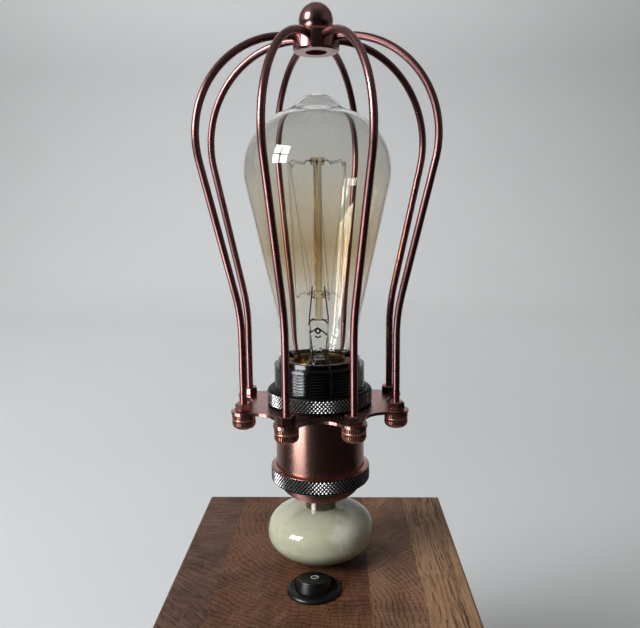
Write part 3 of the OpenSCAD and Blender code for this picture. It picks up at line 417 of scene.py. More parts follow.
in_a_grid, given, made = grower("pieces_in_a_grid", [
    ("Pattern", "NodeSocketObject"), ("Width", "NodeSocketFloat"), ("Length", "NodeSocketFloat"),
    ("Height", "NodeSocketFloat"), ("Finish", "NodeSocketMaterial")])
corners = plug_in(in_a_grid, "GeometryNodeMeshGrid", {
    "Size X": given["Width"], "Size Y": given["Length"], "Vertices X": 2, "Vertices Y": 2}).outputs["Mesh"]
lift = plug_in(in_a_grid, "ShaderNodeCombineXYZ", {"Z": given["Height"]}).outputs[0]
corners = plug_in(in_a_grid, "GeometryNodeSetPosition", {"Geometry": corners, "Offset": lift}).outputs[0]
shape = plug_in(in_a_grid, "GeometryNodeObjectInfo", {"Object": given["Pattern"]}).outputs["Geometry"]
close_grower(in_a_grid, given, made, plug_in(in_a_grid, "GeometryNodeInstanceOnPoints", {
    "Points": corners, "Instance": shape}).outputs[0])

cover_board, tree, shader, place = new_finish("cover_board")
flecks = speckle(tree, vector_figure(tree, "MULTIPLY", place, (90, 700, 700)), 1.0, 4, 0.6)["Fac"]
tree.links.new(tint(tree, between(tree, flecks, 0.35, 0.68), (0.16, 0.095, 0.05, 1), (0.33, 0.21, 0.12, 1)),
               shader.inputs["Base Color"])
tree.links.new(between(tree, flecks, 0.3, 0.7, 0.5, 0.68), shader.inputs["Roughness"])
raise_by(tree, shader, flecks, 0.3, 0.0001)
dress(cover_board, "base_cover")

bm = bmesh.new()
turned(bm, eased([(0, 0), (3, 0), (1.5, 1.5), (1.5, 12.5), (0, 14)], 0.2), steps=32)
screw = as_piece("screw", bm, zinc)
bm = bmesh.new()
for a, b in ((0.45, 1.75), (1.75, 0.45)):
    lower = ring_of(bm, [(-a, -b, -0.3), (a, -b, -0.3), (a, b, -0.3), (-a, b, -0.3)])
    upper = ring_of(bm, [(-a * 0.6, -b * 0.5, 1.3), (a * 0.6, -b * 0.5, 1.3),
                         (a * 0.6, b * 0.5, 1.3), (-a * 0.6, b * 0.5, 1.3)])
    bridge(bm, lower, upper)
    bm.faces.new(list(reversed(lower)))
    bm.faces.new(upper)
cross = as_piece("cross", bm, zinc)
cut = screw.modifiers.new("cut", "BOOLEAN")
cut.object, cut.operation, cut.solver, cut.use_self = cross, "DIFFERENCE", "EXACT", True
bpy.context.view_layer.update()
screw.data = bpy.data.meshes.new_from_object(screw.evaluated_get(bpy.context.evaluated_depsgraph_get()))
screw.modifiers.remove(cut)
bpy.data.objects.remove(cross)
fit_piece(grow("cover_screw_heads", in_a_grid, Pattern=screw, Width=0.06, Length=0.091, Height=0.003,
               Finish=zinc), "base", "zinc", "cover_screws")

foot_rubber = plastic("foot_rubber", (0.018, 0.018, 0.018), 0.6, 0.8, 1400, 0.00008)
bm = bmesh.new()
turned(bm, eased([(0, 0.9), (2.2, 0.9), (2.5, 0), (6.3, 0), (7, 1.1), (7, 3), (0, 3)], 0.35), steps=64)
fit_piece(grow("rubber_feet", in_a_grid, Pattern=as_piece("foot", bm, foot_rubber), Width=0.11, Length=0.11,
               Height=0.0, Finish=foot_rubber), "base", "foot_rubber", "feet")


# Rod, washer and nut
# A hollow steel rod, threaded along its whole length, runs up through the cube and the stem. A
# washer and a brass nut under the roof pull everything above the wood down on it.
steel = metal("steel", (0.56, 0.565, 0.57), 0.25, 0.4)
dress(steel, "centre_rod", "rod_washer")
dress(brass, "rod_nut")


# Onyx bead
# A flattened bead of pale green onyx, turned and polished to a high gloss, with a cloudy white
# patch at the front and thin olive veins.
onyx, tree, shader, place = new_finish("onyx", Roughness=0.06, IOR=1.52,
                                       Subsurface_Weight=0.35, Subsurface_Radius=(0.006, 0.006, 0.004))
flow = vector_figure(tree, "ADD", vector_figure(tree, "SCALE", place, scale=1000.0), vector_figure(
    tree, "SCALE", speckle(tree, place, 60.0, 3)["Color"], scale=14.0))
milk = speckle(tree, flow, 0.055, 4, 0.55)["Fac"]
stone = tint(tree, between(tree, milk, 0.3, 0.7), (0.385, 0.38, 0.265, 1), (0.45, 0.45, 0.345, 1))
vein = figure(tree, "ABSOLUTE", figure(tree, "SUBTRACT", speckle(tree, flow, 0.045, 3, 0.6)["Fac"], 0.5))
stone = tint(tree, figure(tree, "MULTIPLY", between(tree, vein, 0.0, 0.022, 1.0, 0.0),
                          between(tree, milk, 0.3, 0.6, 0.2, 0.0)), stone, (0.26, 0.235, 0.12, 1))
heart = vector_figure(tree, "LENGTH", vector_figure(
    tree, "MULTIPLY", vector_figure(tree, "SUBTRACT", flow, (18.0, -12.0, 160.0)), (1.15, 0.9, 1.0)))
ragged = figure(tree, "ADD", heart, figure(tree, "MULTIPLY", speckle(tree, flow, 0.25, 5, 0.7)["Fac"], 14.0))
stone = tint(tree, figure(tree, "MULTIPLY", between(tree, ragged, 9.0, 15.0, 1.0, 0.0), 0.55), stone,
             (0.70, 0.70, 0.61, 1))
smoke = between(tree, speckle(tree, flow, 0.11, 4, 0.6)["Fac"], 0.52, 0.68)
stone = tint(tree, figure(tree, "MULTIPLY", smoke, 0.4), stone, (0.235, 0.24, 0.17, 1))
tree.links.new(stone, shader.inputs["Base Color"])
dress(onyx, "onyx_bead")


# Collar
# A short turned collar of dull nickel that spaces the lamp holder from the bead.
# Lathe marks run round the piece, so its highlights stretch along the axis.
def lathe_sheen(finish, amount):
    tree, shader = finish.node_tree, finish.node_tree.nodes["Principled BSDF"]
    shader.inputs["Anisotropic"].default_value = amount
    shader.inputs["Anisotropic Rotation"].default_value = 0.25
    tree.links.new(plug_in(tree, "ShaderNodeTangent", axis="Z").outputs[0], shader.inputs["Tangent"])
    return finish


dress(lathe_sheen(metal("nickel", (0.34, 0.305, 0.28), 0.25, 0.3), 1.0), "steel_collar")


# Lamp holder's dome and shell
# Spun copper, satin-finished and lacquered to an old rose-brown. The dome closes the holder
# below, the shell is a plain tube with a bead rolled round its top.
def satin_copper(name, color, dark, low, high, turn_lines, smear=0.3, glance=(1, 1, 1)):
    finish, tree, shader, place = new_finish(name, Metallic=1.0, Specular_Tint=(*glance, 1))
    marks = plug_in(tree, "ShaderNodeGroup", {"Place": place, "Scale": smear}, node_tree=scuffs).outputs
    lathe = speckle(tree, vector_figure(tree, "MULTIPLY", place, (30, 30, turn_lines)), 1.0, 1, 0.5)["Fac"]
    tree.links.new(tint(tree, between(tree, marks["Smudge"], 0.35, 0.75), (*color, 1), (*dark, 1)),
                   shader.inputs["Base Color"])
    tree.links.new(figure(tree, "ADD", between(tree, marks["Smudge"], 0.3, 0.7, low, high),
                          figure(tree, "MULTIPLY", lathe, 0.05)), shader.inputs["Roughness"])
    raise_by(tree, shader, lathe, 0.02, 0.00002)
    return finish


copper_satin = satin_copper("copper_satin", (0.58, 0.335, 0.285), (0.43, 0.23, 0.19), 0.17, 0.23, 1500)
dress(copper_satin, "holder_shell")
copper_dome = satin_copper("copper_dome", (0.36, 0.18, 0.17), (0.27, 0.125, 0.115), 0.46, 0.52, 1500,
                           glance=(0.8, 0.55, 0.53))
dress(lathe_sheen(copper_dome, 0.9), "holder_dome")
dress(plastic("porcelain", (0.78, 0.76, 0.70), 0.15, 0.25, 700, 0.00003), "holder_core")


# Knurled rings
# Two turned steel rings with a diamond knurl, blackened in the hollows and rubbed bright on the
# crests, with painted shade on the flanks that face down. The lower one screws the dome to the shell;
# the upper one clamps the cage's plate.
knurl, given, made = grower("diamond_knurl", [
    ("Radius", "NodeSocketFloat"), ("Low", "NodeSocketFloat"), ("Row", "NodeSocketFloat"),
    ("Rows", "NodeSocketInt"), ("Columns", "NodeSocketInt"), ("Depth", "NodeSocketFloat"),
    ("Finish", "NodeSocketMaterial")])
spots = plug_in(knurl, "GeometryNodePoints", {
    "Count": figure(knurl, "MULTIPLY", given["Rows"], given["Columns"])}).outputs[0]
number = plug_in(knurl, "GeometryNodeInputIndex").outputs[0]
row = figure(knurl, "FLOOR", figure(knurl, "DIVIDE", figure(knurl, "ADD", number, 0.5), given["Columns"]))
turn_share = figure(knurl, "DIVIDE", figure(knurl, "ADD", number, figure(knurl, "MULTIPLY", row, 0.5)),
                    given["Columns"])
bearing = figure(knurl, "MULTIPLY", turn_share, 2 * math.pi)
spot = plug_in(knurl, "ShaderNodeCombineXYZ", {
    "X": figure(knurl, "MULTIPLY", figure(knurl, "COSINE", bearing), given["Radius"]),
    "Y": figure(knurl, "MULTIPLY", figure(knurl, "SINE", bearing), given["Radius"]),
    "Z": figure(knurl, "ADD", given["Low"], figure(knurl, "MULTIPLY", row, given["Row"]))}).outputs[0]
spots = plug_in(knurl, "GeometryNodeSetPosition", {"Geometry": spots, "Position": spot}).outputs[0]
wide = figure(knurl, "DIVIDE", figure(knurl, "MULTIPLY", given["Radius"], math.pi), given["Columns"])
point = plug_in(knurl, "GeometryNodeMeshCone", {
    "Vertices": 4, "Side Segments": 1, "Fill Segments": 1, "Radius Top": 0.06, "Radius Bottom": 1.0,
    "Depth": 1.0}).outputs["Mesh"]
point = plug_in(knurl, "GeometryNodeTransform", {
    "Geometry": point, "Rotation": (0, math.pi / 2, 0)}).outputs[0]
point_share = 0.92
point_size = plug_in(knurl, "ShaderNodeCombineXYZ", {
    "X": given["Depth"], "Y": figure(knurl, "MULTIPLY", wide, point_share),
    "Z": figure(knurl, "MULTIPLY", given["Row"], point_share)}).outputs[0]
point = plug_in(knurl, "GeometryNodeTransform", {"Geometry": point, "Scale": point_size}).outputs[0]
face_on = plug_in(knurl, "ShaderNodeCombineXYZ", {"Z": bearing}).outputs[0]
close_grower(knurl, given, made, plug_in(knurl, "GeometryNodeInstanceOnPoints", {
    "Points": spots, "Instance": point, "Rotation": face_on}).outputs[0])


def knurl_wear_and_shade(name, valley, crest):
    finish, tree, shader, place = new_finish(name, Metallic=1.0)
    flat = vector_figure(tree, "LENGTH", vector_figure(tree, "MULTIPLY", place, (1, 1, 0)))
    wear_and_shade = figure(tree, "MULTIPLY", between(tree, flat, valley * mm, crest * mm),
                    between(tree, speckle(tree, place, 300, 3)["Fac"], 0.25, 0.6, 0.65, 1.0))
    # Flanks facing down are painted darker than flanks facing up: painted shade laid over the real wear.
    flank = plug_in(tree, "ShaderNodeNewGeometry").outputs["True Normal"]
    slope = plug_in(tree, "ShaderNodeSeparateXYZ", {0: flank}).outputs["Z"]
    wear_and_shade = figure(tree, "MULTIPLY", wear_and_shade, between(tree, slope, -0.15, 0.15, 0.1, 1.0))
    tree.links.new(tint(tree, wear_and_shade, (0.006, 0.0055, 0.0055, 1), (0.34, 0.335, 0.33, 1)),
                   shader.inputs["Base Color"])
    tree.links.new(between(tree, wear_and_shade, 0.0, 1.0, 0.45, 0.27), shader.inputs["Roughness"])
    raise_by(tree, shader, speckle(tree, place, 2500, 2)["Fac"], 0.1, 0.00003)
    return finish


blackened = metal("blackened", (0.022, 0.02, 0.019), 0.38, 0.5)
knurled_low = knurl_wear_and_shade("knurled_low", 22.33, 22.42)
bm = bmesh.new()
turned(bm, eased([(19.9, 171.4), (21.6, 171.4), (22.3, 172.0), (22.3, 178.2), (22.5, 178.25), (22.55, 178.45),
                  (20.7, 179.2), (20.25, 179.2), (20.25, 172.4), (19.9, 172.4)], 0.2))
ring_body = as_piece("lower_ring_body", bm, blackened)
ring_body.data.materials.append(copper_satin)
bare_copper_z = 0.17822
for face in ring_body.data.polygons:
    if face.center.z > bare_copper_z:
        face.material_index = 1
fit_piece(ring_body, "base", "knurled", "lower_ring")
knurl_cut = dict(Row=0.00092, Rows=6, Depth=0.00043)
fit_piece(grow("lower_ring_knurl", knurl, 20, Radius=0.02227, Low=0.1727, Columns=84, Finish=knurled_low,
               **knurl_cut), "base", "knurled")


# Cage plate, cap nuts and hexagon nuts
# A scalloped copper plate is clamped between shell and shade ring. Each wire passes through one of
# its lobes and is held by a knurled cap nut below and a hexagon nut above.
copper_plate = satin_copper("copper_plate", (0.54, 0.31, 0.285), (0.40, 0.215, 0.195), 0.2, 0.28, 900)
dress(copper_plate, "cage_plate")

in_a_ring, given, made = grower("pieces_in_a_ring", [
    ("Pattern", "NodeSocketObject"), ("Count", "NodeSocketInt"), ("Start", "NodeSocketFloat"),
    ("Step", "NodeSocketFloat"), ("Radius", "NodeSocketFloat"), ("Height", "NodeSocketFloat"),
    ("Finish", "NodeSocketMaterial")])
number = plug_in(in_a_ring, "GeometryNodeInputIndex").outputs[0]
bearing = figure(in_a_ring, "ADD", given["Start"], figure(in_a_ring, "MULTIPLY", number, given["Step"]))
spot = plug_in(in_a_ring, "ShaderNodeCombineXYZ", {
    "X": figure(in_a_ring, "MULTIPLY", figure(in_a_ring, "COSINE", bearing), given["Radius"]),
    "Y": figure(in_a_ring, "MULTIPLY", figure(in_a_ring, "SINE", bearing), given["Radius"]),
    "Z": given["Height"]}).outputs[0]
spots = plug_in(in_a_ring, "GeometryNodePoints", {"Count": given["Count"], "Position": spot}).outputs[0]
shape = plug_in(in_a_ring, "GeometryNodeObjectInfo", {"Object": given["Pattern"]}).outputs["Geometry"]
face_on = plug_in(in_a_ring, "ShaderNodeCombineXYZ", {"Z": bearing}).outputs[0]
close_grower(in_a_ring, given, made, plug_in(in_a_ring, "GeometryNodeInstanceOnPoints", {
    "Points": spots, "Instance": shape, "Rotation": face_on}).outputs[0])

# The hollows between the flutes are painted near-black as shade; the flute crests, the middle bead and the
# domed foot keep the copper colour, dulled at random.
copper_nut, tree, shader, place = new_finish("copper_nut", Metallic=0.85)
unshaded_crests = plug_in(tree, "ShaderNodeAttribute", attribute_name="crest").outputs["Fac"]
marks = plug_in(tree, "ShaderNodeGroup", {"Place": place, "Scale": 1.5}, node_tree=scuffs).outputs
worn = figure(tree, "MULTIPLY", unshaded_crests, between(tree, marks["Smudge"], 0.25, 0.7, 1.0, 0.75))
tree.links.new(tint(tree, worn, (0.045, 0.016, 0.012, 1), (0.57, 0.265, 0.205, 1)),
               shader.inputs["Base Color"])
tree.links.new(between(tree, marks["Smudge"], 0.3, 0.7, 0.24, 0.34), shader.inputs["Roughness"])
copper_polished = metal("copper_polished", (0.45, 0.235, 0.222), 0.17, 0.25, dull=(0.36, 0.18, 0.168))
round_the_cage = dict(Count=8, Start=math.radians(24.5), Step=math.pi / 4)
wire_circle = 0.036

bm = bmesh.new()
crest = bm.verts.layers.float.new("crest")
for low, high in ((2.2, 4.0), (5.0, 6.65)):
    inner = ring_of(bm, [(4.4, -0.27, low), (4.4, 0.27, low), (4.4, 0.27, high), (4.4, -0.27, high)])
    outer = ring_of(bm, [(5.1, -0.15, low + 0.2), (5.1, 0.15, low + 0.2), (5.1, 0.15, high - 0.2),
                         (5.1, -0.15, high - 0.2)])
    for spot in outer:
        spot[crest] = 1.0
    bridge(bm, inner, outer)
    bm.faces.new(outer)
    bm.faces.new(list(reversed(inner)))
rib_count = 34
ribs = grow("ribs", in_a_ring, Pattern=as_piece("rib", bm, copper_nut), Count=rib_count, Start=0.0,
            Step=2 * math.pi / rib_count, Radius=0.0, Height=0.0, Finish=copper_nut)
bm = bmesh.new()
cap_angles = [math.radians(a) for a in range(0, 86, 8)]
turned(bm, [(4.95 * math.sin(a), 2.2 - 2.2 * math.cos(a)) for a in cap_angles]
       + [(4.95, 2.2), (4.6, 2.3), (4.6, 3.95), (4.95, 4.1), (5.08, 4.3), (5.1, 4.5), (5.08, 4.7),
          (4.95, 4.9), (4.6, 5.05), (4.6, 6.6), (5.0, 6.65), (5.0, 6.85), (4.85, 7.0), (0, 7.0)], steps=68)
crest = bm.verts.layers.float.new("crest")
for spot in bm.verts:
    spot[crest] = 1.0 if math.hypot(spot.co.x, spot.co.y) > 0.0047 or spot.co.z < 0.00215 else 0.0
bm.from_mesh(ribs.data)
bpy.data.objects.remove(ribs)
fit_piece(grow("knurled_cap_nuts", in_a_ring, Pattern=as_piece("cap_nut", bm, copper_nut), Radius=wire_circle,
               Height=0.1997, Finish=copper_nut, **round_the_cage), "base", "copper_nut", "cap_nuts")

bm = bmesh.new()
six = [math.pi / 3 * k for k in range(6)]
levels = [ring_of(bm, [(r * math.cos(a), r * math.sin(a), z) for a in six])
          for r, z in ((3.45, 0.0), (3.81, 0.35), (3.81, 3.05), (3.4, 3.5))]
for lower, upper in zip(levels, levels[1:]):
    bridge(bm, lower, upper)
bm.faces.new(list(reversed(levels[0])))
bm.faces.new(levels[-1])
hexagon = as_piece("hexagon_nut", bm, copper_polished, 20)
fit_piece(grow("hexagon_nuts", in_a_ring, 20, Pattern=hexagon, Radius=wire_circle, Height=0.208,
               Finish=copper_polished, **round_the_cage), "base", "copper_polished", "hex_nuts")


# Cage wires, hub and ball finial
# Eight copper-plated steel wires, bent alike: upright at the foot, flared, then rolled in a wide
# crown to the hub, where each end seats in a drilled hole. A ball is screwed on top.
def drawn_wire(name, path, radius, finish, steps=16):
    line = bpy.data.curves.new(name, "CURVE")
    line.dimensions = "3D"
    spline = line.splines.new("POLY")
    spline.points.add(len(path) - 1)
    for spot, p in zip(spline.points, path):
        spot.co = (*(c * mm for c in p), 1)
    line.bevel_depth, line.bevel_resolution, line.use_fill_caps = radius * mm, steps // 4, True
    holder = bpy.data.objects.new(name, line)
    bpy.context.scene.collection.objects.link(holder)
    bpy.context.view_layer.update()
    mesh = bpy.data.meshes.new_from_object(holder.evaluated_get(bpy.context.evaluated_depsgraph_get()))
    bpy.data.objects.remove(holder)
    bm = bmesh.new()
    bm.from_mesh(mesh)
    return as_piece(name, bm, finish, 50)


wire_side = ([(36, 201.4), (36, 220)] + arc((116, 240), 80, 180, 166.2, 14)
             + arc((10.95, 323.795), 42.005, -13.8, 90, 48) + [(5.7, 365.8)])
copper_wire = metal("copper_wire", (0.34, 0.163, 0.161), 0.25, 0.34, dull=(0.26, 0.118, 0.116))
wire = drawn_wire("wire", [(r, 0, z) for r, z in wire_side], 1.6, copper_wire)
fit_piece(grow("cage_wires", in_a_ring, 50, Pattern=wire, Radius=0.0, Height=0.0, Finish=copper_wire,
               **round_the_cage), "base", "copper_polished", *(f"cage_wire_{i}" for i in range(1, 9)))
dress(copper_polished, "cage_hub", "finial_ball")
dress(blackened, "finial_stud")


# Sleeve, shade ring and socket
# The holder's black sleeve carries a fine outside thread for the shade ring. A brass screw socket
# sits inside it on the porcelain, with a sprung contact in its floor.
sleeve_pitch = 1.25


def thread_cut(angle, r, z):
    if 208.6 < z < 224.6 and r > 20:
        wave = abs(((z / sleeve_pitch - angle / (2 * math.pi)) % 1.0) * 2 - 1)
        return r - 0.42 * min(1.0, max(0.0, (wave - 0.2) / 0.5))
    return r


sleeve_black = metal("sleeve_black", (0.10, 0.10, 0.105), 0.10, 0.16, dull=(0.06, 0.06, 0.062))
bm = bmesh.new()
wall = [(20.4, 206.75 + 0.125 * k) for k in range(154)]
turned(bm, [(14.2, 191.0), (18.5, 191.0), (18.5, 206.7)] + wall
       + [(20.3, 226.0), (18.55, 226.0), (18.4, 226.15), (18.4, 228.35), (18.2, 228.6), (17.45, 228.6),
          (17.2, 228.4), (17.2, 221.0), (14.2, 221.0)], swell=thread_cut)
fit_piece(as_piece("threaded_sleeve", bm, sleeve_black), "base", "sleeve_black", "holder_sleeve")

knurled_high = knurl_wear_and_shade("knurled_high", 23.38, 23.47)
bm = bmesh.new()
turned(bm, eased([(20.75, 208.0), (23.1, 208.0), (23.35, 208.3), (23.35, 214.4), (22.7, 215.1), (22.0, 215.4),
                  (20.75, 215.4)], 0.3))
fit_piece(as_piece("shade_ring_body", bm, blackened), "shade_ring", "knurled", "shade_ring")
fit_piece(grow("shade_ring_knurl", knurl, 20, Radius=0.02332, Low=0.2091, Columns=88, Finish=knurled_high,
               **knurl_cut), "shade_ring", "knurled")
old_brass = metal("old_brass", (0.40, 0.26, 0.10), 0.22, 0.36)
dress(old_brass, "socket_shell", "centre_contact")


# Bulb
# A clear, faintly amber pear of blown glass with a sealed-off nipple, cemented into a brass screw
# cap. Inside, a glass stem carries a rod with two buttons, hair-thin hooks and a zigzag filament.
def clear_glass(name, rough, *bands):
    finish, tree, shader, place = new_finish(name, Transmission_Weight=1.0, IOR=1.46, Roughness=rough)
    film = figure(tree, "MULTIPLY", speckle(tree, place, 40.0, 2)["Fac"], 0.012)
    level = figure(tree, "ADD", plug_in(tree, "ShaderNodeSeparateXYZ", {0: place}).outputs["Z"], film)
    ramp = plug_in(tree, "ShaderNodeValToRGB", {0: between(tree, level, 0.236, 0.356)})
    while len(ramp.color_ramp.elements) < len(bands):
        ramp.color_ramp.elements.new(1.0)
    for stop, (height, color) in zip(ramp.color_ramp.elements, bands):
        stop.position, stop.color = (height - 230) / 120, (*color, 1)
    tree.links.new(ramp.outputs["Color"], shader.inputs["Base Color"])
    return finish


# Edges seen at a slant take another colour: pale rims are painted highlight, dark rims painted shade.
def rim_tint(finish, low, high, color):
    tree, shader = finish.node_tree, finish.node_tree.nodes["Principled BSDF"]
    core = shader.inputs["Base Color"].links[0].from_socket
    facing = plug_in(tree, "ShaderNodeLayerWeight", {"Blend": 0.5}).outputs["Facing"]
    rim = between(tree, facing, low, high)
    tree.links.new(tint(tree, rim, core, (*color, 1)), shader.inputs["Base Color"])


shoulder, bulb_wide = (5.0, 311.0), 27.0


def glass_side(inset):
    cone = math.radians(12.3)
    top = (shoulder[0] + bulb_wide * math.cos(-cone), shoulder[1] + bulb_wide * math.sin(-cone))
    foot = (top[0] - (top[1] - 239.0) * math.tan(cone), 239.0)
    neck_mid = (foot[0] - 30 * math.cos(cone), foot[1] + 30 * math.sin(cone))
    side = [(12.65, 217.5), (12.65, 228.0)]
    side += [p for p in arc(neck_mid, 30, -40, -12.3, 14) if p[0] > 12.65 and p[1] > 228.2]
    side += [tuple(foot[c] + (top[c] - foot[c]) * k / 24 for c in (0, 1)) for k in range(1, 24)]
    side += [p for p in arc(shoulder, bulb_wide, -12.3, 82, 40) if p[1] < 335.4]
    side += arc((0, 331.7), 12, 26, 90, 14)
    moved = []
    for i, p in enumerate(side):
        before, after = Vector(side[max(0, i - 1)]), Vector(side[min(len(side) - 1, i + 1)])
        way = (after - before).normalized()
        moved.append((max(0.0, p[0] - inset * way.y), p[1] + inset * way.x))
    moved[-1] = (0.0, moved[-1][1])
    for _ in range(2):
        moved = [p if not 0 < i < len(moved) - 1 or not 333 < p[1] < 340 else tuple(
            (moved[i - 1][k] + 2 * p[k] + moved[i + 1][k]) / 4 for k in (0, 1)) for i, p in enumerate(moved)]
    return moved


# The amber is strongest halfway up the pear: partly the glass's own faint amber, partly a painted reflection
# of the copper.
bulb_glass = clear_glass("bulb_glass", 0.0, (238, (0.97, 0.96, 0.93)), (258, (0.95, 0.90, 0.82)),
                         (278, (0.78, 0.68, 0.51)), (298, (0.87, 0.82, 0.71)), (312, (0.88, 0.86, 0.80)),
                         (330, (0.865, 0.857, 0.838)))
bm = bmesh.new()
turned(bm, glass_side(0.0) + list(reversed(glass_side(0.9))), steps=144)
blown_glass = as_piece("blown_glass", bm, bulb_glass, 60)
fit_piece(blown_glass, "bulb", "bulb_glass", "bulb_glass")

stem_glass = clear_glass("stem_glass", 0.02, (235, (0.97, 0.965, 0.95)), (330, (0.94, 0.935, 0.92)))
rod_glass = clear_glass("rod_glass", 0.03, (240, (0.84, 0.76, 0.60)), (280, (0.70, 0.52, 0.29)),
                        (312, (0.82, 0.72, 0.55)))
# The rod's slanting edges are painted pale: a painted highlight.
rim_tint(rod_glass, 0.22, 0.42, (0.97, 0.95, 0.90))
# The stem's slanting edges are painted dark grey: painted shade for the dark refraction at its rims.
rim_tint(stem_glass, 0.5, 0.85, (0.30, 0.31, 0.31))
tree, shader = stem_glass.node_tree, stem_glass.node_tree.nodes["Principled BSDF"]
waves = speckle(tree, plug_in(tree, "ShaderNodeTexCoord").outputs["Object"], 420.0, 2)["Fac"]
raise_by(tree, shader, waves, 0.8, 0.0008)
dress(stem_glass, "bulb_stem")
# Thin tubes and a small loop of glass painted near-black lie in the pinch: painted shade for the dark
# refraction of its folds and its seal.
shade_glass = clear_glass("shade_glass", 0.02, (235, (0.10, 0.10, 0.095)), (330, (0.10, 0.10, 0.095)))
bm = bmesh.new()
turned(bm, [(1.0 + x, z) for x, z in arc((0, 0), 0.42, 0, 345, 23)], steps=32)
loop_place = Matrix.Translation((-0.0004, -0.0020, 0.2409)) @ Matrix.Rotation(math.radians(80), 4, "X")
bmesh.ops.transform(bm, matrix=loop_place, verts=bm.verts)
folds = (
    [(-4.4, -1.2, 243.4), (-4.3, -1.5, 244.5), (-3.7, -1.7, 245.5), (-2.8, -1.8, 246.1), (-1.9, -1.8, 246.4)],
    [(3.9, -1.2, 243.4), (3.8, -1.5, 244.4), (3.2, -1.7, 245.3), (2.3, -1.8, 245.9), (1.4, -1.8, 246.1)],
    [(-4.3, -1.7, 240.2), (-3.0, -2.0, 240.7), (-1.6, -2.2, 241.6), (-0.6, -2.3, 242.4),
     (0.4, -2.2, 241.7), (1.8, -2.1, 240.6), (3.6, -1.8, 239.0)],
    [(-1.6, -2.1, 238.6), (-0.9, -2.3, 238.1), (-0.3, -2.3, 238.0), (0.4, -2.3, 238.2), (0.9, -2.1, 238.7)])
for fold in folds:
    crease = drawn_wire("crease", fold, 0.36, shade_glass, 12)
    bm.from_mesh(crease.data)
    bpy.data.objects.remove(crease)
fit_piece(as_piece("pinch_folds", bm, shade_glass, 60), "bulb", "stem_glass")
dress(rod_glass, "bulb_mandrel")
dress(plastic("black_glass", (0.012, 0.012, 0.016), 0.08, 0.15, 600, 0.00002), "bulb_insulator")
dress(tinned, "bulb_tip_contact")

screw_pitch = 3.629


def screw_thread(angle, r, z):
    if r > 12.9 and 207.5 < z < 224.5:
        return r - 0.42 * (1 + math.cos(2 * math.pi * (z / screw_pitch - angle / (2 * math.pi))))
    return r


bm = bmesh.new()
turned(bm, [(11.65, 206.2), (12.35, 206.2), (13.05, 206.9)] + [(13.05, 207.4 + 0.3 * k) for k in range(58)]
       + [(13.05, 227.2), (12.95, 227.5), (12.7, 227.5), (12.12, 226.5), (12.12, 206.9), (11.65, 206.9)],
       swell=screw_thread)
fit_piece(as_piece("screw_cap", bm, old_brass), "bulb", "brass", "bulb_cap")

dark_wire = metal("dark_wire", (0.16, 0.15, 0.14), 0.3, 0.45)
upper_hook = drawn_wire("hook", [
    (2.3, 0, 315.1), (5.0, 0, 315.6), (6.1, 0.2, 315.0), (6.8, 0.1, 313.8), (7.5, -0.1, 315.2),
    (8.3, 0.1, 314.0), (9.1, 0, 315.4), (10.0, -0.1, 314.6), (11.0, 0, 315.4), (12.4, 0, 315.1),
    (12.8, 0.1, 313.6), (13.1, 0.1, 313.1), (13.4, 0, 313.5), (13.6, 0, 314.5)], 0.14, dark_wire, 8)
fit_piece(grow("upper_hooks", in_a_ring, 50, Pattern=upper_hook, Count=6, Start=-math.pi / 2,
               Step=math.pi / 3, Radius=0.0, Height=0.0, Finish=dark_wire),
          "bulb", "dark_wire", "upper_supports")
lower_hook = drawn_wire("hook", [
    (2.3, 0, 257.1), (4.2, 0, 257.9), (5.4, 0.2, 257.0), (6.2, 0, 258.2), (7.2, -0.2, 257.3),
    (8.2, 0, 257.8), (8.7, 0, 256.0), (9.1, 0.1, 255.5), (9.4, 0.1, 255.8), (9.6, 0, 256.8)],
    0.14, dark_wire, 8)
fit_piece(grow("lower_hooks", in_a_ring, 50, Pattern=lower_hook, Count=5, Start=-math.pi / 3,
               Step=math.pi / 3, Radius=0.0, Height=0.0, Finish=dark_wire),
          "bulb", "dark_wire", "lower_supports")

bm = bmesh.new()
for s in (-1, 1):
    lead = drawn_wire("lead", [
        (s * 2.4, 0, 226.0), (s * 3.1, 0, 232.0), (s * 3.8, 0, 238.0), (s * 4.3, 0, 244.6),
        (s * 4.2, -0.1, 246.8), (s * 3.6, -0.9, 252.0), (s * 3.0, -2.2, 257.6), (s * 2.7, -3.2, 261.1)],
        0.3, dark_wire, 8)
    bm.from_mesh(lead.data)
    bpy.data.objects.remove(lead)
fit_piece(as_piece("lead_in_wires", bm, dark_wire, 50), "bulb", "dark_wire", "bulb_leads")

filament, tree, shader, place = new_finish("filament", Metallic=0.6)
height = plug_in(tree, "ShaderNodeSeparateXYZ", {0: place}).outputs["Z"]
# Pale and dark bands along the wire are painted light and shade of the turns of a coil.
coil_light_bands = figure(tree, "SINE", figure(tree, "MULTIPLY", height, 9000.0))
tree.links.new(tint(tree, between(tree, coil_light_bands, -1, 1), (0.42, 0.33, 0.19, 1), (0.80, 0.68, 0.46, 1)),
               shader.inputs["Base Color"])
tree.links.new(between(tree, coil_light_bands, -1, 1, 0.3, 0.5), shader.inputs["Roughness"])


def hooked_over(reach, angle, z, lift):
    return [(reach * math.cos(angle) - 0.3 * k * math.sin(angle),
             reach * math.sin(angle) + 0.3 * k * math.cos(angle), z + (lift if k == 0 else 0))
            for k in (-1, 0, 1)]


strand = [(2.7, -3.45, 261.1)]
for i in range(6):
    angle = math.radians(-90 + 60 * i)
    strand += hooked_over(14.1, angle, 313.9, 0.3)
    if i < 5:
        strand += hooked_over(10.05, angle + math.radians(30), 255.9, -0.3)
strand.append((-2.7, -3.45, 261.1))
fit_piece(drawn_wire("hair_filament", strand, 0.09, filament, 8), "bulb", "filament", "filament")
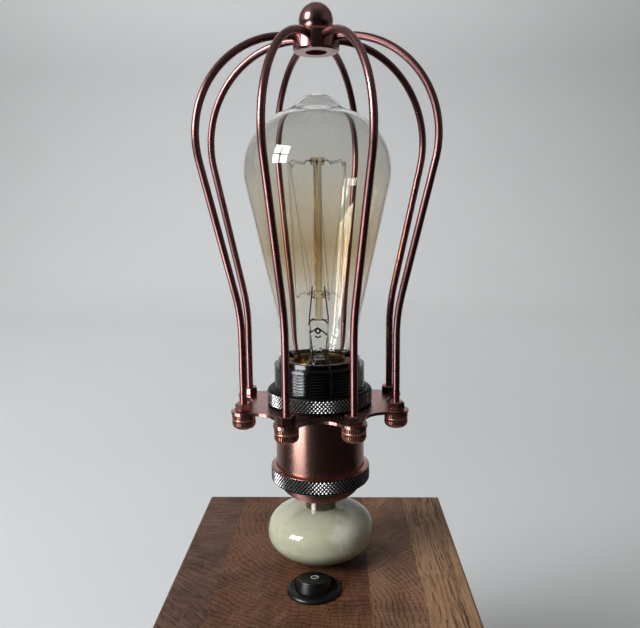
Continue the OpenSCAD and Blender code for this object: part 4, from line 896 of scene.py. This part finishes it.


# Floor and wall
# A plain pale sweep: a floor that rolls up into a wall far behind the lamp. Close to the lamp the floor
# is painted near-black for reflected rays only, a painted dark reflection in the polished pieces.
sweep = bpy.data.meshes.new("sweep")
bm = bmesh.new()
roll_start, roll_r = 1.6, 0.9
roll = [math.radians(a) for a in range(5, 91, 5)]
path = [(-4.0, 0.0), (roll_start, 0.0)]
path += [(roll_start + roll_r * math.sin(a), roll_r - roll_r * math.cos(a)) for a in roll] + [(2.5, 5.0)]
left = [bm.verts.new((-6, y, z)) for y, z in path]
right = [bm.verts.new((6, y, z)) for y, z in path]
for i in range(len(path) - 1):
    bm.faces.new((left[i], right[i], right[i + 1], left[i + 1]))
bm.to_mesh(sweep)
bm.free()
sweep.shade_smooth()
pale, tree, shader, place = new_finish("pale_paint", Roughness=0.9, Specular_IOR_Level=0.1)
paint = tint(tree, speckle(tree, place, 3.0, 3)["Fac"], (0.47, 0.478, 0.482, 1), (0.50, 0.508, 0.512, 1))
spread = plug_in(tree, "ShaderNodeSeparateXYZ", {0: place}).outputs
# Painted shading: the sweep is lighter low down and darker up the wall.
paint = tint(tree, 1.0, paint, between(tree, spread["Z"], 0.05, 0.9, 1.12, 0.94), "MULTIPLY")
# Painted dark reflection: the floor near the lamp looks near-black to reflected rays only.
dark_mirror_zone = between(tree, spread["Y"], 0.1, 0.7, 1.0, 0.0)
mirrored = plug_in(tree, "ShaderNodeLightPath").outputs["Is Glossy Ray"]
tree.links.new(tint(tree, figure(tree, "MULTIPLY", dark_mirror_zone, mirrored), paint, (0.012, 0.011, 0.0105, 1)),
               shader.inputs["Base Color"])
sweep.materials.append(pale)
floor = bpy.data.objects.new("sweep", sweep)
bpy.context.scene.collection.objects.link(floor)


# Light
# A four-pane window high on the left with a glow around it, a lower pane for the metal, a wash on
# the wall, a soft light overhead and a dim room. The lower pane lights no glass, bead or floor.
def hang_light(name, shape, energy, size, place, way, mirrored=False):
    light = bpy.data.lights.new(name, "AREA")
    light.shape, light.energy, light.size = shape, energy, size[0]
    if shape == "RECTANGLE":
        light.size_y = size[1]
    stand = bpy.data.objects.new(name, light)
    stand.location, stand.rotation_euler = place, way.to_track_quat("-Z", "Y").to_euler()
    stand.visible_glossy = stand.visible_transmission = mirrored
    bpy.context.scene.collection.objects.link(stand)
    return stand


window_mid = Vector((-1.153, -0.72, 0.884))
look = (Vector((0, 0, 0.25)) - window_mid).normalized()
side = look.cross(Vector((0, 0, 1))).normalized()
rise = side.cross(look)
for i in (-1, 1):
    for j in (-1, 1):
        pane = hang_light("pane", "RECTANGLE", 6.4, (0.29, 0.32),
                          window_mid + side * (0.17 * i) + rise * (0.185 * j), look, True)
        pane.data.color = (0.95, 0.98, 1.0)
stem_mid = Vector((0, 0, 0.2))
above = Vector((-0.3, 0.7, 2.3))
hang_light("overhead", "DISK", 1.5, (2.2,), above, stem_mid - above)
low_pane = Vector((-0.441, -0.327, -0.01))
strip = hang_light("low_window", "RECTANGLE", 2.6, (0.32, 0.44), low_pane,
                   Vector((0, 0, 0.19)) - low_pane, True)
strip.visible_camera = False
shaded = bpy.data.collections.new("out_of_low_window")
for piece in (blown_glass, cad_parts["onyx_bead"], floor):
    shaded.objects.link(piece)
strip.light_linking.receiver_collection = shaded
for member in shaded.collection_objects:
    member.light_linking.link_state = "EXCLUDE"
glow = Vector((-1.0, -0.75, 1.25))
hang_light("window_glow", "SQUARE", 14.0, (1.2,), glow, stem_mid - glow)
hang_light("wall_wash", "RECTANGLE", 70.0, (3.0, 0.8), (-0.5, 1.0, 2.6), Vector((0, 0.83, -0.55)))
room = bpy.data.worlds.new("room")
bpy.context.scene.world = room
room.use_nodes = True
tree = room.node_tree
backdrop = tree.nodes["Background"]
outward = plug_in(tree, "ShaderNodeTexCoord").outputs["Generated"]
facing = plug_in(tree, "ShaderNodeSeparateXYZ", {0: outward}).outputs
dim = figure(tree, "ADD", between(tree, facing["Y"], 0.25, 0.85, 0.012, 0.25),
             between(tree, facing["Z"], 0.1, 1.0, 0.0, 0.08))
dim = figure(tree, "ADD", dim, between(tree, facing["X"], 0.5, 1.0, 0.0, 0.12))
ray = plug_in(tree, "ShaderNodeLightPath").outputs
side_wall = figure(tree, "MULTIPLY", between(tree, facing["X"], -0.2, -0.7),
                   between(tree, facing["Z"], 0.0, 0.2, 0.0, 0.25))
ceiling = between(tree, facing["Z"], 0.7, 1.0, 0.0, 0.14)
mirrored_room = figure(tree, "MULTIPLY", ray["Is Glossy Ray"], figure(tree, "ADD", side_wall, ceiling))
dim = figure(tree, "ADD", dim, mirrored_room)
tree.links.new(tint(tree, ray["Is Camera Ray"], dim, (0.55, 0.56, 0.57, 1)), backdrop.inputs["Color"])
bpy.context.scene.view_settings.view_transform = "Standard"
